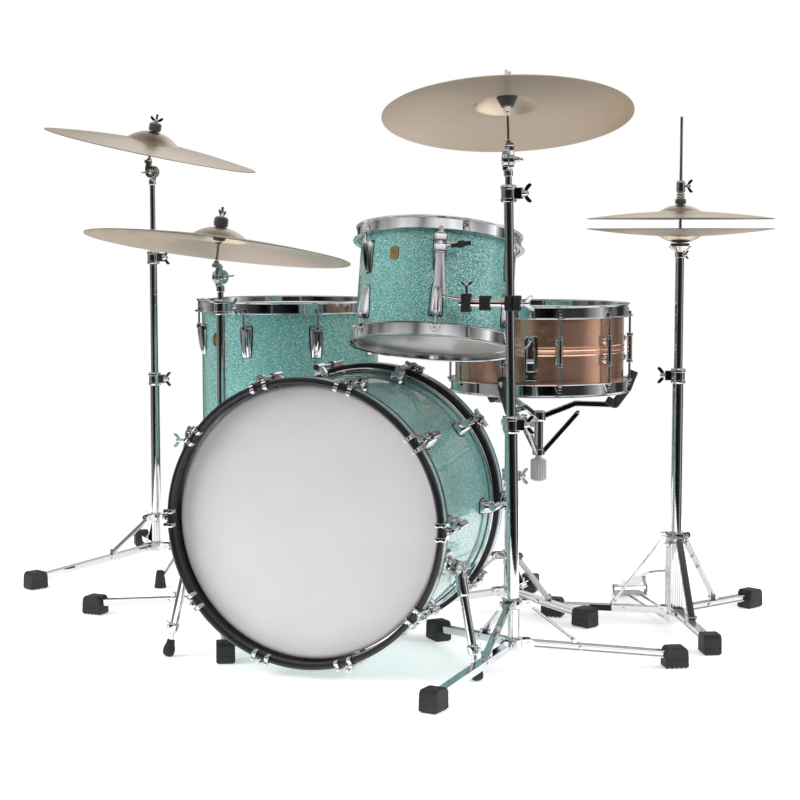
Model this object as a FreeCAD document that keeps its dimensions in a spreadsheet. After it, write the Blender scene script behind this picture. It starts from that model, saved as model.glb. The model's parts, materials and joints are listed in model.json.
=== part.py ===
import FreeCAD, Part
import math
import operator
import os
import Sketcher
from FreeCAD import Placement, Rotation, Vector

# Acoustic drum kit: bass drum on spurs, rack tom hung from a cymbal stand, floor tom on three legs,
# snare drum in a basket stand, hi-hat stand with pedal, and three cymbal stands.
# Frame: +Z up, +Y from the front of the kit towards the drummer, floor at Z = 0.

# ---------------------------------------------------------------- driving dimensions (millimetres, degrees)

SIZES = {
    # where the middle of the whole kit lies, measured from under the middle of the bass drum
    "kit_middle_x": -109.41, "kit_middle_y": 323.29,
    # bass drum
    "bass_radius": 252, "bass_ply": 6, "bass_half": 180, "bass_axis_height": 286,
    "bass_hoop_bore": 258, "bass_hoop_radius": 270, "bass_hoop_inner_end": 174.5, "bass_hoop_outer_end": 212,
    "bass_inlay_width": 14, "bass_rod_circle": 278, "bass_rod_radius": 3,
    "bass_lines": 10, "bass_first_line": 72,
    "spur_y": -110, "spur_bracket_turn": 17, "spur_pivot_circle": 284,
    "spur_foot_x": 312, "spur_foot_y": -125, "spur_tube": 8, "spur_leg": 5.5,
    # rack tom
    "rack_radius": 152, "rack_ply": 6, "rack_half": 101.5, "rack_lines": 6, "rack_first_line": -72,
    "rack_x": 153, "rack_y": 127, "rack_height": 704, "rack_tilt": 12.6,
    "rack_lug_length": 58, "rack_lug_width": 24, "rack_lug_drop": 30,
    # floor tom
    "floor_radius": 203, "floor_ply": 6, "floor_half": 203, "floor_lines": 8, "floor_first_line": -7,
    "floor_x": -355, "floor_y": 638, "floor_height": 449,
    "floor_lug_length": 66, "floor_lug_width": 30, "floor_lug_drop": 44,
    "floor_leg_turn_a": 209, "floor_leg_turn_b": 329, "floor_leg_turn_c": 105.5,
    "floor_leg_reach": 306, "floor_leg_radius": 5, "floor_leg_circle": 234,
    "floor_leg_top": 372, "floor_bracket_height": 345,
    # snare drum
    "snare_radius": 178, "snare_ply": 2, "snare_half": 80, "snare_lines": 10, "snare_first_line": -63.5,
    "snare_x": 276, "snare_y": 477, "snare_height": 577,
    # metal hoops, heads and tension rods, the same on both toms and the snare drum
    "flesh_hoop_width": 5.4, "flesh_hoop_depth": 9, "rim_wall": 7, "rim_flange": 17, "rim_height": 12,
    "rod_circle": 12.4, "rod_radius": 2.4, "film": 0.5,
    # stands: tubes, legs, braces and rubber feet
    "tube_lower": 11, "tube_middle": 8.7, "tube_upper": 6.2, "tube_wall": 1.4,
    "leg_width": 18, "leg_depth": 14, "brace_width": 14, "brace_depth": 6,
    "foot_length": 46, "foot_width": 36, "foot_height": 40,
    # each stand: its column, the reach and direction of its feet, and its hub, brace collar and height clamp
    "left_x": -732, "left_y": 700, "left_reach": 347,
    "left_turn_a": 2.5, "left_turn_b": 122.4, "left_turn_c": 242.6,
    "left_hub": 59, "left_collar": 128, "left_brace": 0.37, "left_clamp": 470, "left_top": 962,
    "ride_x": -318, "ride_y": 157, "ride_reach": 315, "ride_turn_a": 54.4, "ride_turn_b": 174.4,
    "ride_turn_c": 294.4, "ride_hub": 59, "ride_collar": 128,
    "ride_brace": 0.37, "ride_clamp": 400, "ride_top": 727,
    "right_x": 360, "right_y": -46, "right_reach": 310, "right_turn_a": 27, "right_turn_b": 134,
    "right_turn_c": 258, "right_hub": 59, "right_collar": 131, "right_brace": 0.37, "right_clamp": 470,
    "right_top": 950, "right_lean": 1, "right_upper_clamp": 893, "tom_clamp_height": 689,
    "hat_x": 574, "hat_y": 466, "hat_reach": 262, "hat_turn_a": 61, "hat_turn_b": 179.5, "hat_turn_c": 294.5,
    "hat_hub": 31, "hat_collar": 186, "hat_brace": 0.5, "hat_clamp": 527,
    "basket_x": 206, "basket_y": 494, "basket_reach": 220, "basket_turn_a": -28.5, "basket_turn_b": 91.5,
    "basket_turn_c": 211.5, "basket_hub": 45, "basket_collar": 122, "basket_brace": 0.52, "basket_clamp": 300,
    "basket_top": 425, "basket_arm_turn": 22,
    # cymbals: radius, height of the rim's plane, how far and which way each one tilts down
    "left_radius": 254, "left_plane": 1013, "left_tilt": 12.6, "left_way": 0,
    "ride_radius": 273, "ride_plane": 783, "ride_tilt": 8.8, "ride_way": 60.7,
    "right_radius": 229, "right_plane": 1028, "right_tilt": 13.8, "right_way": 108,
    "cymbal_bow": 21, "bell_radius": 62, "bell_rise": 25, "cymbal_bore": 6.5, "cymbal_post": 3,
    "cymbal_thickness": 1.6, "post_offset": 14,
    # hi-hat
    "hat_radius": 190, "hat_bow": 15, "hat_bell_radius": 43, "hat_bell_rise": 14, "hat_top_edge": 845,
    "hat_bottom_edge": 826, "hat_rod_top": 1054, "hat_rod_radius": 3.2, "hat_rod_end": 3, "hat_rod_step": 940,
    "hat_housing_top": 176,
    "pedal_turn": 119, "pedal_width": 76,
}

doc = FreeCAD.newDocument("drum_kit")
sheet = doc.addObject("Spreadsheet::Sheet", "Sizes")
for row, (alias, size) in enumerate(SIZES.items(), 1):
    sheet.set(f"A{row}", alias)
    sheet.set(f"B{row}", str(size))
    sheet.setAlias(f"B{row}", alias)
doc.recompute()


# -------------------------------------------------------- lengths that remember how they are worked out

OPERATIONS = {"+": operator.add, "-": operator.sub, "*": operator.mul, "/": operator.truediv}


class Length:
    """A number worked out from the sheet's cells, with the expression that binds a property to them."""

    def __init__(self, text, number):
        self.text, self.number = text, number

    def __add__(self, other):
        return joined(self, "+", other)

    def __sub__(self, other):
        return joined(self, "-", other)

    def __mul__(self, other):
        return joined(self, "*", other)

    def __truediv__(self, other):
        return joined(self, "/", other)

    def __neg__(self):
        return self * -1

    def __float__(self):
        return float(self.number)


def joined(first, sign, second):
    """Two lengths, or a length and a plain number, as one length."""
    text = second.text if isinstance(second, Length) else str(second)
    return Length(f"({first.text} {sign} {text})", OPERATIONS[sign](float(first), float(second)))


def cell(name):
    return Length(f"Sizes.{name}", float(getattr(sheet, name)))


def number(name):
    return float(getattr(sheet, name))


def bind(thing, field, length):
    """Set a property from a length, kept bound to the sheet."""
    if isinstance(length, Length):
        thing.setExpression(field, length.text)
    else:
        setattr(thing, field, length)


# ---------------------------------------------------------------- placements

UP, ACROSS, ALONG = Vector(0, 0, 1), Vector(1, 0, 0), Vector(0, 1, 0)
FLIP = Placement(Vector(), Rotation(ACROSS, 180))


def at(x, y, z, axis=UP, angle=0):
    return Placement(Vector(float(x), float(y), float(z)), Rotation(axis, float(angle)))


def spun(angle):
    return at(0, 0, 0, UP, angle)


def in_kit(x, y, z, axis=UP, angle=0):
    """A place measured from under the bass drum, moved so that the kit's own middle is the origin."""
    return at(float(x) - number("kit_middle_x"), float(y) - number("kit_middle_y"), z, axis, angle)


def pointing(start, end):
    """A placement at start whose own Z runs to end."""
    return Placement(start, Rotation(UP, end - start))


BASS = in_kit(0, 0, number("bass_axis_height"), ACROSS, 90)
RACK = in_kit(number("rack_x"), number("rack_y"), number("rack_height"), ACROSS, -number("rack_tilt"))
FLOOR = in_kit(number("floor_x"), number("floor_y"), number("floor_height"))
SNARE = in_kit(number("snare_x"), number("snare_y"), number("snare_height"))
LEFT = in_kit(number("left_x"), number("left_y"), 0)
RIDE = in_kit(number("ride_x"), number("ride_y"), 0)
RIGHT = in_kit(number("right_x"), number("right_y"), 0, Vector(0.311, -0.951, 0), number("right_lean"))
HAT = in_kit(number("hat_x"), number("hat_y"), 0)
BASKET = in_kit(number("basket_x"), number("basket_y"), 0)

nodes = {}


def keep(node, thing):
    """Name a finished sub-part after the piece it is."""
    thing.Label = node
    nodes[node] = thing
    return thing


# ---------------------------------------------------------------- ways of making a piece

def draw_loop(sketch, points):
    """A closed outline of straight edges whose corners are bound to the sheet."""
    first = sketch.GeometryCount
    places = [Vector(float(x), float(y), 0) for x, y in points]
    for index, place in enumerate(places):
        sketch.addGeometry(Part.LineSegment(place, places[(index + 1) % len(places)]), False)
    for index, (x, y) in enumerate(points):
        edge = first + index
        following = first + (index + 1) % len(points)
        sketch.addConstraint(Sketcher.Constraint("Coincident", edge, 2, following, 1))
        for kind, value, axis in (("DistanceX", x, -2), ("DistanceY", y, -1)):
            if isinstance(value, Length) or value != 0:
                place = sketch.addConstraint(Sketcher.Constraint(kind, -1, 1, edge, 1, float(value)))
                if isinstance(value, Length):
                    sketch.setExpression(f"Constraints[{place}]", value.text)
            else:
                sketch.addConstraint(Sketcher.Constraint("PointOnObject", edge, 1, axis))


def new_sketch(body, label, plane):
    sketch = body.newObject("Sketcher::SketchObject", f"{label}_outline")
    origin = [item for item in body.Origin.OriginFeatures if item.Role == plane][0]
    sketch.AttachmentSupport = (origin, [""])
    sketch.MapMode = "FlatFace"
    return sketch


def turned(label, loops, place):
    """A body turned about its own Z axis from closed outlines of (radius, height) corners."""
    body = doc.addObject("PartDesign::Body", label)
    body.AllowCompound = True
    sketch = new_sketch(body, label, "XZ_Plane")
    for loop in loops:
        draw_loop(sketch, loop)
    turn = body.newObject("PartDesign::Revolution", f"{label}_turn")
    turn.Profile = sketch
    turn.ReferenceAxis = (sketch, ["V_Axis"])
    turn.Angle = 360
    body.Placement = place
    return body


def padded(label, loops, thickness, place):
    """A body padded both ways from closed outlines of (x, z) corners, by half its thickness each way."""
    body = doc.addObject("PartDesign::Body", label)
    body.AllowCompound = True
    sketch = new_sketch(body, label, "XZ_Plane")
    for loop in loops:
        draw_loop(sketch, loop)
    pad = body.newObject("PartDesign::Pad", f"{label}_pad")
    pad.Profile = sketch
    pad.Midplane = True
    bind(pad, "Length", thickness)
    body.Placement = place
    return body


def rod(radius, length, place):
    made = doc.addObject("Part::Cylinder", "rod")
    bind(made, "Radius", radius)
    bind(made, "Height", length)
    made.Placement = place
    return made


def tapered(low_radius, high_radius, length, place):
    made = doc.addObject("Part::Cone", "cone")
    bind(made, "Radius1", low_radius)
    bind(made, "Radius2", high_radius)
    bind(made, "Height", length)
    made.Placement = place
    return made


def block(length, width, height, place):
    """A box centred on its own X and Y, standing on its own Z = 0."""
    made = doc.addObject("Part::Box", "block")
    bind(made, "Length", length)
    bind(made, "Width", width)
    bind(made, "Height", height)
    made.Placement = place * at(-float(length) / 2, -float(width) / 2, 0)
    return made


def ball(radius, place):
    made = doc.addObject("Part::Sphere", "ball")
    bind(made, "Radius", radius)
    made.Placement = place
    return made


def tube(radius, wall, length, place):
    """A hollow tube standing on its own Z = 0."""
    made = doc.addObject("Part::Cut", "tube")
    made.Base = rod(radius, length, place)
    made.Tool = rod(radius - wall, length, place)
    return made


def fused(parts):
    made = doc.addObject("Part::MultiFuse", "joined")
    made.Shapes = parts
    return made


def drilled(base, tool):
    made = doc.addObject("Part::Cut", "drilled")
    made.Base, made.Tool = base, tool
    return made


def grouped(parts):
    """Separate solids that share one node."""
    made = doc.addObject("Part::Compound", "group")
    made.Links = parts
    return made


def copies(pattern, places):
    """The same piece at many places: a ring of pieces at both ends of a drum is no single pattern."""
    doc.recompute()
    shapes = []
    for place in places:
        shape = pattern.Shape.copy()
        shape.Placement = place * shape.Placement
        shapes += shape.Solids
    made = doc.addObject("Part::Feature", "copies")
    made.Shape = Part.makeCompound(shapes)
    return made


def swept(points, bend, radius):
    """A round rod through straight runs, each corner turned by an arc of the bend radius."""
    edges, start = [], points[0]
    for before, corner, after in zip(points, points[1:], points[2:]):
        back, ahead = (before - corner).normalize(), (after - corner).normalize()
        half = back.getAngle(ahead) / 2
        run_in, run_out = corner + back * (bend / math.tan(half)), corner + ahead * (bend / math.tan(half))
        middle_way = (back + ahead).normalize()
        middle = corner + middle_way * (bend / math.sin(half) - bend)
        edges += [Part.LineSegment(start, run_in).toShape(), Part.Arc(run_in, middle, run_out).toShape()]
        start = run_out
    edges.append(Part.LineSegment(start, points[-1]).toShape())
    section = Part.Wire(Part.Circle(points[0], points[1] - points[0], radius).toShape())
    made = doc.addObject("Part::Feature", "bent_rod")
    made.Shape = Part.Wire(edges).makePipeShell([section], True, False)
    return made


def wing_nut(place, span=17):
    """A hub with two flat wings, turned about its own Z axis."""
    hub = rod(5, 9, place)
    wings = [block(span, 3, 12, place * at(side * span * 0.42, 0, 2, ALONG, side * 25)) for side in (-1, 1)]
    return fused([hub] + wings)


# ---------------------------------------------------------------- drums

def both_ends(count, first):
    """Places for a row of pieces round the top end of a drum, then round its bottom end."""
    spins = [spun(first + index * 360 / count) for index in range(int(count))]
    return spins + [spin * FLIP for spin in spins]


def mirrored(loop):
    return [(radius, -height) for radius, height in loop]


def shell_loop(radius, ply, half, edge):
    """Half outline of a shell whose bearing edges are cut at 45 degrees on both faces."""
    ridge = radius - edge
    return [(radius - ply, -half + (ply - edge)), (ridge, -half), (radius, -half + edge),
            (radius, half - edge), (ridge, half), (radius - ply, half - (ply - edge))]


def head_loop(radius, half):
    """A drum head: film across the bearing edge, collar, and the flesh hoop that holds it."""
    film, width, depth = cell("film"), cell("flesh_hoop_width"), cell("flesh_hoop_depth")
    collar = half - 3
    return [(0, half + 0.1), (0, half + film + 0.1), (radius - 0.5, half + film + 0.1),
            (radius + 1.7, half - 0.8), (radius + 1.7, collar), (radius + width + 1.2, collar),
            (radius + width + 1.2, collar - depth),
            (radius + 0.6, collar - depth), (radius + 0.6, half - 1.2), (radius - 1, half + 0.1)]


def rim_loop(radius, half):
    """A flanged steel hoop: a lip on the flesh hoop, an upright wall, a rod flange and a rolled top edge."""
    wall, flange, top = radius + cell("rim_wall"), radius + cell("rim_flange"), half + cell("rim_height")
    return [(radius + 3, half - 2.8), (wall, half - 2.8), (wall, half - 14), (flange, half - 14),
            (flange, half - 12), (wall + 2, half - 12), (wall + 2, top - 2), (wall + 5.5, top),
            (wall + 4.5, top + 1.8), (wall, top - 0.5), (wall, half - 0.8), (radius + 3, half - 0.8)]


def drum(name, place, prefix):
    """Shell, two heads and two steel hoops of a tom or snare drum, with rods down to its lugs."""
    radius, ply, half = (cell(f"{prefix}_{word}") for word in ("radius", "ply", "half"))
    edge = 1.5 if float(ply) > 3 else 1.2
    keep(f"{name}_shell", turned(f"{name}_shell", [shell_loop(radius, ply, half, edge)], place))
    heads = head_loop(radius, half)
    keep(f"{name}_heads", turned(f"{name}_heads", [heads, mirrored(heads)], place))
    rims = rim_loop(radius, half)
    blank = turned(f"{name}_hoop_blank", [rims, mirrored(rims)], place)
    ends = both_ends(number(f"{prefix}_lines"), number(f"{prefix}_first_line"))
    circle = float(radius) + number("rod_circle")
    hole = rod(cell("rod_radius") + 0.5, 6, at(circle, 0, float(half) - 16))
    keep(f"{name}_hoops", drilled(blank, copies(hole, [place * end for end in ends])))
    return ends, circle


def tension_rod(circle, top, length):
    """A rod with a washer and a square key head that bears on the hoop at the given height."""
    shank = rod(cell("rod_radius"), length, at(circle, 0, top - length))
    washer = rod(3.2, 1.6, at(circle, 0, top))
    key = block(6, 6, 6.5, at(circle, 0, top + 1.6))
    return fused([shank, washer, key])


def tom_lug(prefix, circle):
    """A long cast lug: a shield on the shell with a round barrel down its middle."""
    radius, half = number(f"{prefix}_radius"), number(f"{prefix}_half")
    length, width = number(f"{prefix}_lug_length"), number(f"{prefix}_lug_width")
    top = half - number(f"{prefix}_lug_drop")
    reach = circle - radius
    outline = [(0.28 * width, 0), (0.5 * width, 0.3 * length), (0.42 * width, 0.8 * length),
               (0.3 * width, length)]
    corners = outline + [(-x, z) for x, z in reversed(outline)]
    shield = padded("lug_shield", [corners], 10, at(radius + 5.7, 0, top - length, UP, 90))
    barrel = rod(7.4, length * 0.86, at(radius + reach * 0.62, 0, top - length * 0.93))
    neck = rod(5.5, 8, at(circle, 0, top - length * 0.1))
    return fused([shield, barrel, neck]), top


def build_bass_drum():
    radius, half, ply = cell("bass_radius"), cell("bass_half"), cell("bass_ply")
    bore, outer = cell("bass_hoop_bore"), cell("bass_hoop_radius")
    low, high = cell("bass_hoop_inner_end"), cell("bass_hoop_outer_end")
    keep("bass_drum_shell", turned("bass_drum_shell", [shell_loop(radius, ply, half, 2)], BASS))
    head = [(0, half + 0.1), (0, half + 0.7), (radius + 1, half + 0.7), (radius + 3, half - 1.2),
            (radius + 3, low - 0.4), (bore + 3, low - 0.4), (bore + 3, low - 10), (radius + 1, low - 10),
            (radius + 1, half - 1.6), (radius - 1.2, half + 0.1)]
    keep("bass_drum_heads", turned("bass_drum_heads", [head, mirrored(head)], BASS))
    middle = (low + high) / 2
    groove = cell("bass_inlay_width") / 2
    hoop = [(bore, low), (outer - 1.5, low), (outer, low + 1.5), (outer, middle - groove),
            (outer - 2, middle - groove), (outer - 2, middle + groove), (outer, middle + groove),
            (outer, high - 4), (outer - 4, high), (bore + 4, high), (bore, high - 4)]
    keep("bass_drum_hoops", turned("bass_drum_hoops", [hoop, mirrored(hoop)], BASS))
    inlay = [(outer - 1.9, middle - groove + 0.1), (outer, middle - groove + 0.1),
             (outer, middle + groove - 0.1), (outer - 1.9, middle + groove - 0.1)]
    keep("bass_drum_hoop_inlays", turned("bass_drum_hoop_inlays", [inlay, mirrored(inlay)], BASS))

    circle = number("bass_rod_circle")
    ends = both_ends(number("bass_lines"), number("bass_first_line"))
    places = [BASS * end for end in ends]
    edge, rim = float(outer), float(high)
    foot = [block(24, 26, 9, at(float(radius) + 12.5, 0, 100)), rod(7, 40, at(circle - 6, 0, 96)),
            block(16, 14, 22, at(circle - 12, 0, 105))]
    keep("bass_drum_lugs", copies(fused(foot), places))
    hook = [(edge + 0.4, rim - 26), (edge + 0.4, rim + 0.4), (float(bore) - 0.4, rim + 0.4),
            (float(bore) - 0.4, rim - 8), (float(bore) - 3.4, rim - 8), (float(bore) - 3.4, rim + 3.4),
            (edge + 3.4, rim + 3.4), (edge + 3.4, rim - 26)]
    prongs = [padded("claw_prong", [hook], 7, at(0, side * 13, 0)) for side in (-1, 1)]
    bridge = block(4, 36, 16, at(edge + 2.5, 0, rim - 28))
    ear = block(14, 16, 10, at(circle + 1, 0, rim - 26))
    keep("bass_drum_claws", copies(fused(prongs + [bridge, ear]), places))
    top = rim - 16
    count = int(number("bass_lines"))
    key_rods = copies(bass_rod(circle, top, 7, 7), places[:count])
    bar_rods = copies(bass_rod(circle, top, 9, 38), places[count:])
    keep("bass_drum_tension_rods", grouped([key_rods, bar_rods]))


def bass_rod(circle, top, head_depth, head_width):
    """A long rod under the claw, with a square key head in front or a bar to turn by hand behind."""
    shank = rod(cell("bass_rod_radius"), 84, at(circle, 0, top - 84))
    washer = rod(5.5, 2, at(circle, 0, top))
    head = block(head_depth, head_width, 9, at(circle, 0, top + 2))
    return fused([shank, washer, head])


def spur_frame(side):
    """The spur's bracket place on the shell: X outwards from the shell, Z along the drum to the front."""
    turn = number("spur_bracket_turn")
    return BASS * spun(-turn if side > 0 else 180 + turn) * at(0, 0, -number("spur_y"))


def spur_points(side):
    pivot = spur_frame(side).multVec(Vector(number("spur_pivot_circle"), 0, 0))
    foot = in_kit(side * number("spur_foot_x"), number("spur_foot_y"), 0).Base
    return pivot, foot


def build_spurs():
    """On each side a round plate and boss, a folding tube with a clamp at its end, and a leg with a foot."""
    radius, pivot_circle = number("bass_radius"), number("spur_pivot_circle")
    brackets = []
    for side in (1, -1):
        frame = spur_frame(side)
        plate = rod(24, 7, frame * at(radius + 0.3, 0, 0, ALONG, 90))
        boss = rod(13, pivot_circle - radius - 14, frame * at(radius + 0.3, 0, 0, ALONG, 90))
        brackets.append(fused([plate, boss]))
    keep("spur_brackets", grouped(brackets))
    for side, word in ((1, "right"), (-1, "left")):
        pivot, foot = spur_points(side)
        outward = spur_frame(side).Rotation.multVec(ACROSS)
        length = (foot - pivot).Length
        line = pointing(pivot, foot)
        knuckle = rod(15, 18, Placement(pivot - outward * 13, Rotation(UP, outward)))
        screw = wing_nut(Placement(pivot + outward * 4, Rotation(UP, outward)), 15)
        socket = rod(10.5, length * 0.24, line)
        sleeve = rod(cell("spur_tube"), length * 0.74, line)
        clamp = rod(10.5, 18, line * at(0, 0, length * 0.74 - 4))
        small_wing = wing_nut(line * at(10, 0, length * 0.74 + 5, ALONG, 90), 9)
        bore = rod(cell("spur_leg") + 0.3, length, line * at(0, 0, 18))
        keep(f"spur_{word}_tube", drilled(fused([knuckle, screw, socket, sleeve, clamp, small_wing]), bore))
        shaft = rod(cell("spur_leg"), length - 54, line * at(0, 0, 30))
        cap = tapered(7, 11.5, 16, line * at(0, 0, length - 28))
        tip = ball(11, Placement(foot + Vector(0, 0, 11), Rotation()))
        keep(f"spur_{word}_leg", fused([shaft, cap, tip]))


def lugs_and_rods(name, place, prefix, ends, circle):
    """Upper and lower lugs of a tom, and the rods that draw its hoops down to them."""
    lug, top = tom_lug(prefix, circle)
    places = [place * end for end in ends]
    keep(f"{name}_lugs", copies(lug, places))
    bearing = number(f"{prefix}_half") - 11.9
    keep(f"{name}_tension_rods", copies(tension_rod(circle, bearing, bearing - top + 20), places))


def badge(name, place, width, height):
    """A plain plate with cut corners, lying against the shell."""
    corner = width * 0.28
    outline = [(width / 2, corner), (width / 2, height - corner), (width / 2 - corner, height),
               (corner - width / 2, height), (-width / 2, height - corner), (-width / 2, corner),
               (corner - width / 2, 0), (width / 2 - corner, 0)]
    keep(name, padded(name, [outline], 1.6, place))


# ---------------------------------------------------------------- rack tom and the arm it hangs from

ARM_CIRCLE = 194
JAW_LEVEL = 60
MOUNT = RACK * spun(number("rack_first_line"))


def arm_corner():
    """Where the arm's upright leg meets its level leg, at the height of the clamp on the stand."""
    low, high = MOUNT.multVec(Vector(ARM_CIRCLE, 0, -90)), MOUNT.multVec(Vector(ARM_CIRCLE, 0, 0))
    share = (number("tom_clamp_height") - low.z) / (high.z - low.z)
    return low + (high - low) * share


CORNER = arm_corner()
CLAMP_POINT = RIGHT.multVec(Vector(0, 0, number("tom_clamp_height")))
ARM_LINE = pointing(CORNER, Vector(CLAMP_POINT.x, CLAMP_POINT.y, CORNER.z))
ARM_SPAN = (CLAMP_POINT - CORNER).Length


def build_rack_tom():
    ends, circle = drum("rack_tom", RACK, "rack")
    lugs_and_rods("rack_tom", RACK, "rack", ends, circle)
    radius = number("rack_radius")
    badge("rack_tom_badge", RACK * spun(-105.7) * at(radius + 0.8, 0, 32, UP, 90), 19, 26)
    plate = block(5, 30, 84, MOUNT * at(radius + 24.5, 0, -14))
    stand_off = block(24, 26, 14, MOUNT * at(radius + 12.6, 0, -14))
    jaw = block(24, 26, 34, MOUNT * at(ARM_CIRCLE, 0, JAW_LEVEL - 17))
    link = block(10, 20, 26, MOUNT * at(radius + 29, 0, JAW_LEVEL - 17))
    handle = rod(3.5, 26, MOUNT * at(ARM_CIRCLE, 12, JAW_LEVEL, ACROSS, -90))
    cross = rod(4, 40, MOUNT * at(ARM_CIRCLE, 36, JAW_LEVEL - 20))
    bore = rod(5.4, 60, MOUNT * at(ARM_CIRCLE, 0, JAW_LEVEL - 30))
    keep("rack_tom_mount", drilled(fused([plate, stand_off, jaw, link, handle, cross]), bore))
    top = MOUNT.multVec(Vector(ARM_CIRCLE, 0, JAW_LEVEL + 24))
    end = ARM_LINE.multVec(Vector(0, 0, ARM_SPAN - 32))
    keep("tom_arm", swept([top, CORNER, end], 13, 5))


def build_tom_clamp():
    """Two blocks on a sleeve that grips the arm, and a jaw with a wing nut that grips the stand's tube."""
    first = block(30, 26, 18, ARM_LINE * at(0, 0, 47))
    sleeve = rod(9.5, 30, ARM_LINE * at(0, 0, 60))
    second = block(27, 24, 20, ARM_LINE * at(0, 0, 81))
    jaw = block(29, 29, 30, ARM_LINE * at(0, 0, ARM_SPAN - 16))
    neck = rod(8, 26, ARM_LINE * at(0, 0, 95))
    stud = rod(3, 16, ARM_LINE * at(0, 0, ARM_SPAN + 13))
    wing = wing_nut(ARM_LINE * at(0, 0, ARM_SPAN + 22), 19)
    arm_bore = rod(5.4, ARM_SPAN - 29, ARM_LINE * at(0, 0, 0))
    tube_bore = rod(cell("tube_middle") + 0.5, 80, RIGHT * at(0, 0, number("tom_clamp_height") - 40))
    solid = drilled(fused([first, sleeve, second, jaw, neck, stud, wing]), arm_bore)
    keep("tom_clamp", drilled(solid, tube_bore))


# ---------------------------------------------------------------- floor tom

FLOOR_BASE = in_kit(number("floor_x"), number("floor_y"), 0)


def build_floor_tom():
    ends, circle = drum("floor_tom", FLOOR, "floor")
    lugs_and_rods("floor_tom", FLOOR, "floor", ends, circle)
    radius, rod_ring = number("floor_radius"), number("floor_leg_circle")
    badge("floor_tom_badge", FLOOR * spun(-123.3) * at(radius + 0.8, 0, 114, UP, 90), 22, 30)
    brackets, legs, tips = [], [], []
    for letter in "abc":
        frame = FLOOR_BASE * spun(number(f"floor_leg_turn_{letter}"))
        low = number("floor_bracket_height") - 24
        seat = block(rod_ring - radius + 10, 22, 42, frame * at((rod_ring + radius + 11) / 2, 0, low))
        screw = rod(3.5, 20, frame * at(rod_ring + 9, 0, low + 21, ALONG, 90))
        wing = wing_nut(frame * at(rod_ring + 26, 0, low + 21, ALONG, 90), 16)
        bore = rod(cell("floor_leg_radius") + 0.4, 60, frame * at(rod_ring, 0, low - 8))
        brackets.append(drilled(fused([seat, screw, wing]), bore))
        reach = number("floor_leg_reach")
        route = [(rod_ring, number("floor_leg_top")), (rod_ring, 205), (reach, 78), (reach, 14)]
        points = [frame.multVec(Vector(out, 0, height)) for out, height in route]
        legs.append(swept(points, 32, number("floor_leg_radius")))
        tips.append(drilled(tapered(14, 9, 40, frame * at(reach, 0, 0)),
                            rod(number("floor_leg_radius"), 40, frame * at(reach, 0, 14))))
    keep("floor_tom_leg_brackets", grouped(brackets))
    keep("floor_tom_legs", grouped(legs))
    return tips


# ---------------------------------------------------------------- snare drum and its basket

def build_snare():
    ends, circle = drum("snare", SNARE, "snare")
    radius, half = number("snare_radius"), number("snare_half")
    bar = rod(5.5, 58, at(circle, 0, -29))
    out = (circle + radius) / 2 + 0.3
    saddles = [block(circle - radius, 9, 9, at(out, 0, height)) for height in (-24, 15)]
    spins = ends[:len(ends) // 2]
    keep("snare_lugs", copies(fused([bar] + saddles), [SNARE * spin for spin in spins]))
    bearing = half - 11.9
    pattern = tension_rod(circle, bearing, bearing - 16)
    keep("snare_tension_rods", copies(pattern, [SNARE * end for end in ends]))
    frame = SNARE * spun(-81.5)
    plate = block(5, 30, 70, frame * at(radius + 3, 0, -38))
    slide = block(11, 18, 46, frame * at(radius + 11, 0, -40))
    knob = rod(7, 12, frame * at(radius + 11, 0, 8))
    butt = block(12, 34, 40, SNARE * spun(98.5) * at(radius + 7, 0, -50))
    keep("snare_strainer", grouped([fused([plate, slide, knob]), butt]))
    keep("snare_wires", block(44, 300, 1.4, SNARE * spun(8.5) * at(0, 0, -half - 2.4)))
    arm = block(4, 12, 52, frame * at(radius + 22, 0, -20))
    barrel = rod(5, 16, frame * at(radius + 22, -8, -18, ACROSS, -90))
    keep("snare_throw_lever", fused([arm, barrel]))


def build_basket():
    """The tilting arm, the hub under the drum, three arms with rubber grips, and the tightening knob."""
    top, middle = number("basket_top"), SNARE.Base
    hub = Placement(Vector(middle.x, middle.y, 0), Rotation())
    column = BASKET.Base
    knuckle_height = top - 13
    reach = Vector(middle.x - column.x, middle.y - column.y, 0)
    heading = math.degrees(math.atan2(reach.y, reach.x))
    line = BASKET * spun(heading) * at(0, 0, knuckle_height, ALONG, 90)
    upper = [rod(9.5, 86, hub * at(0, 0, top - 80)), rod(15, 20, hub * at(0, 0, top - 6)),
             rod(13, 12, hub * at(0, 0, 346)), block(22, 10, reach.Length - 6, line * at(0, 6.6, 0)),
             rod(14, 10, line * at(0, 1.6, 0, ACROSS, -90))]
    knob = rod(17, 46, hub * at(0, 0, 291))
    spindle = rod(4, 20, hub * at(0, 0, 330))
    arms, grips = [], []
    for turn in range(3):
        frame = hub * spun(number("basket_arm_turn") + 120 * turn)
        route = [(10, top + 4), (82, 440), (158, 466), (206, 474), (206, 524)]
        points = [frame.multVec(Vector(out, 0, height)) for out, height in route]
        arms.append(swept(points, 10, 4.5))
        link = pointing(frame.multVec(Vector(10, 0, 352)), frame.multVec(Vector(84, 0, 435)))
        arms.append(rod(4, (Vector(10, 0, 352) - Vector(84, 0, 435)).Length, link))
        grips.append(swept([points[2] + (points[3] - points[2]) * 0.12, points[3], points[4]], 10, 8))
    keep("snare_basket", fused(upper + [knob, spindle] + arms + grips))
    tube_length = knuckle_height - 20 - 150
    pole = tube(cell("tube_middle"), cell("tube_wall"), tube_length, BASKET * at(0, 0, 150))
    collar = rod(9.5, 12, BASKET * at(0, 0, knuckle_height - 28))
    cheek = rod(14, 9, line * at(0, -10, 0, ACROSS, -90))
    neck = block(10, 9, 18, BASKET * spun(heading) * at(0, -5.5, knuckle_height - 20))
    keep("snare_stand_upper_tube", fused([pole, collar, cheek, neck]))


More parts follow.
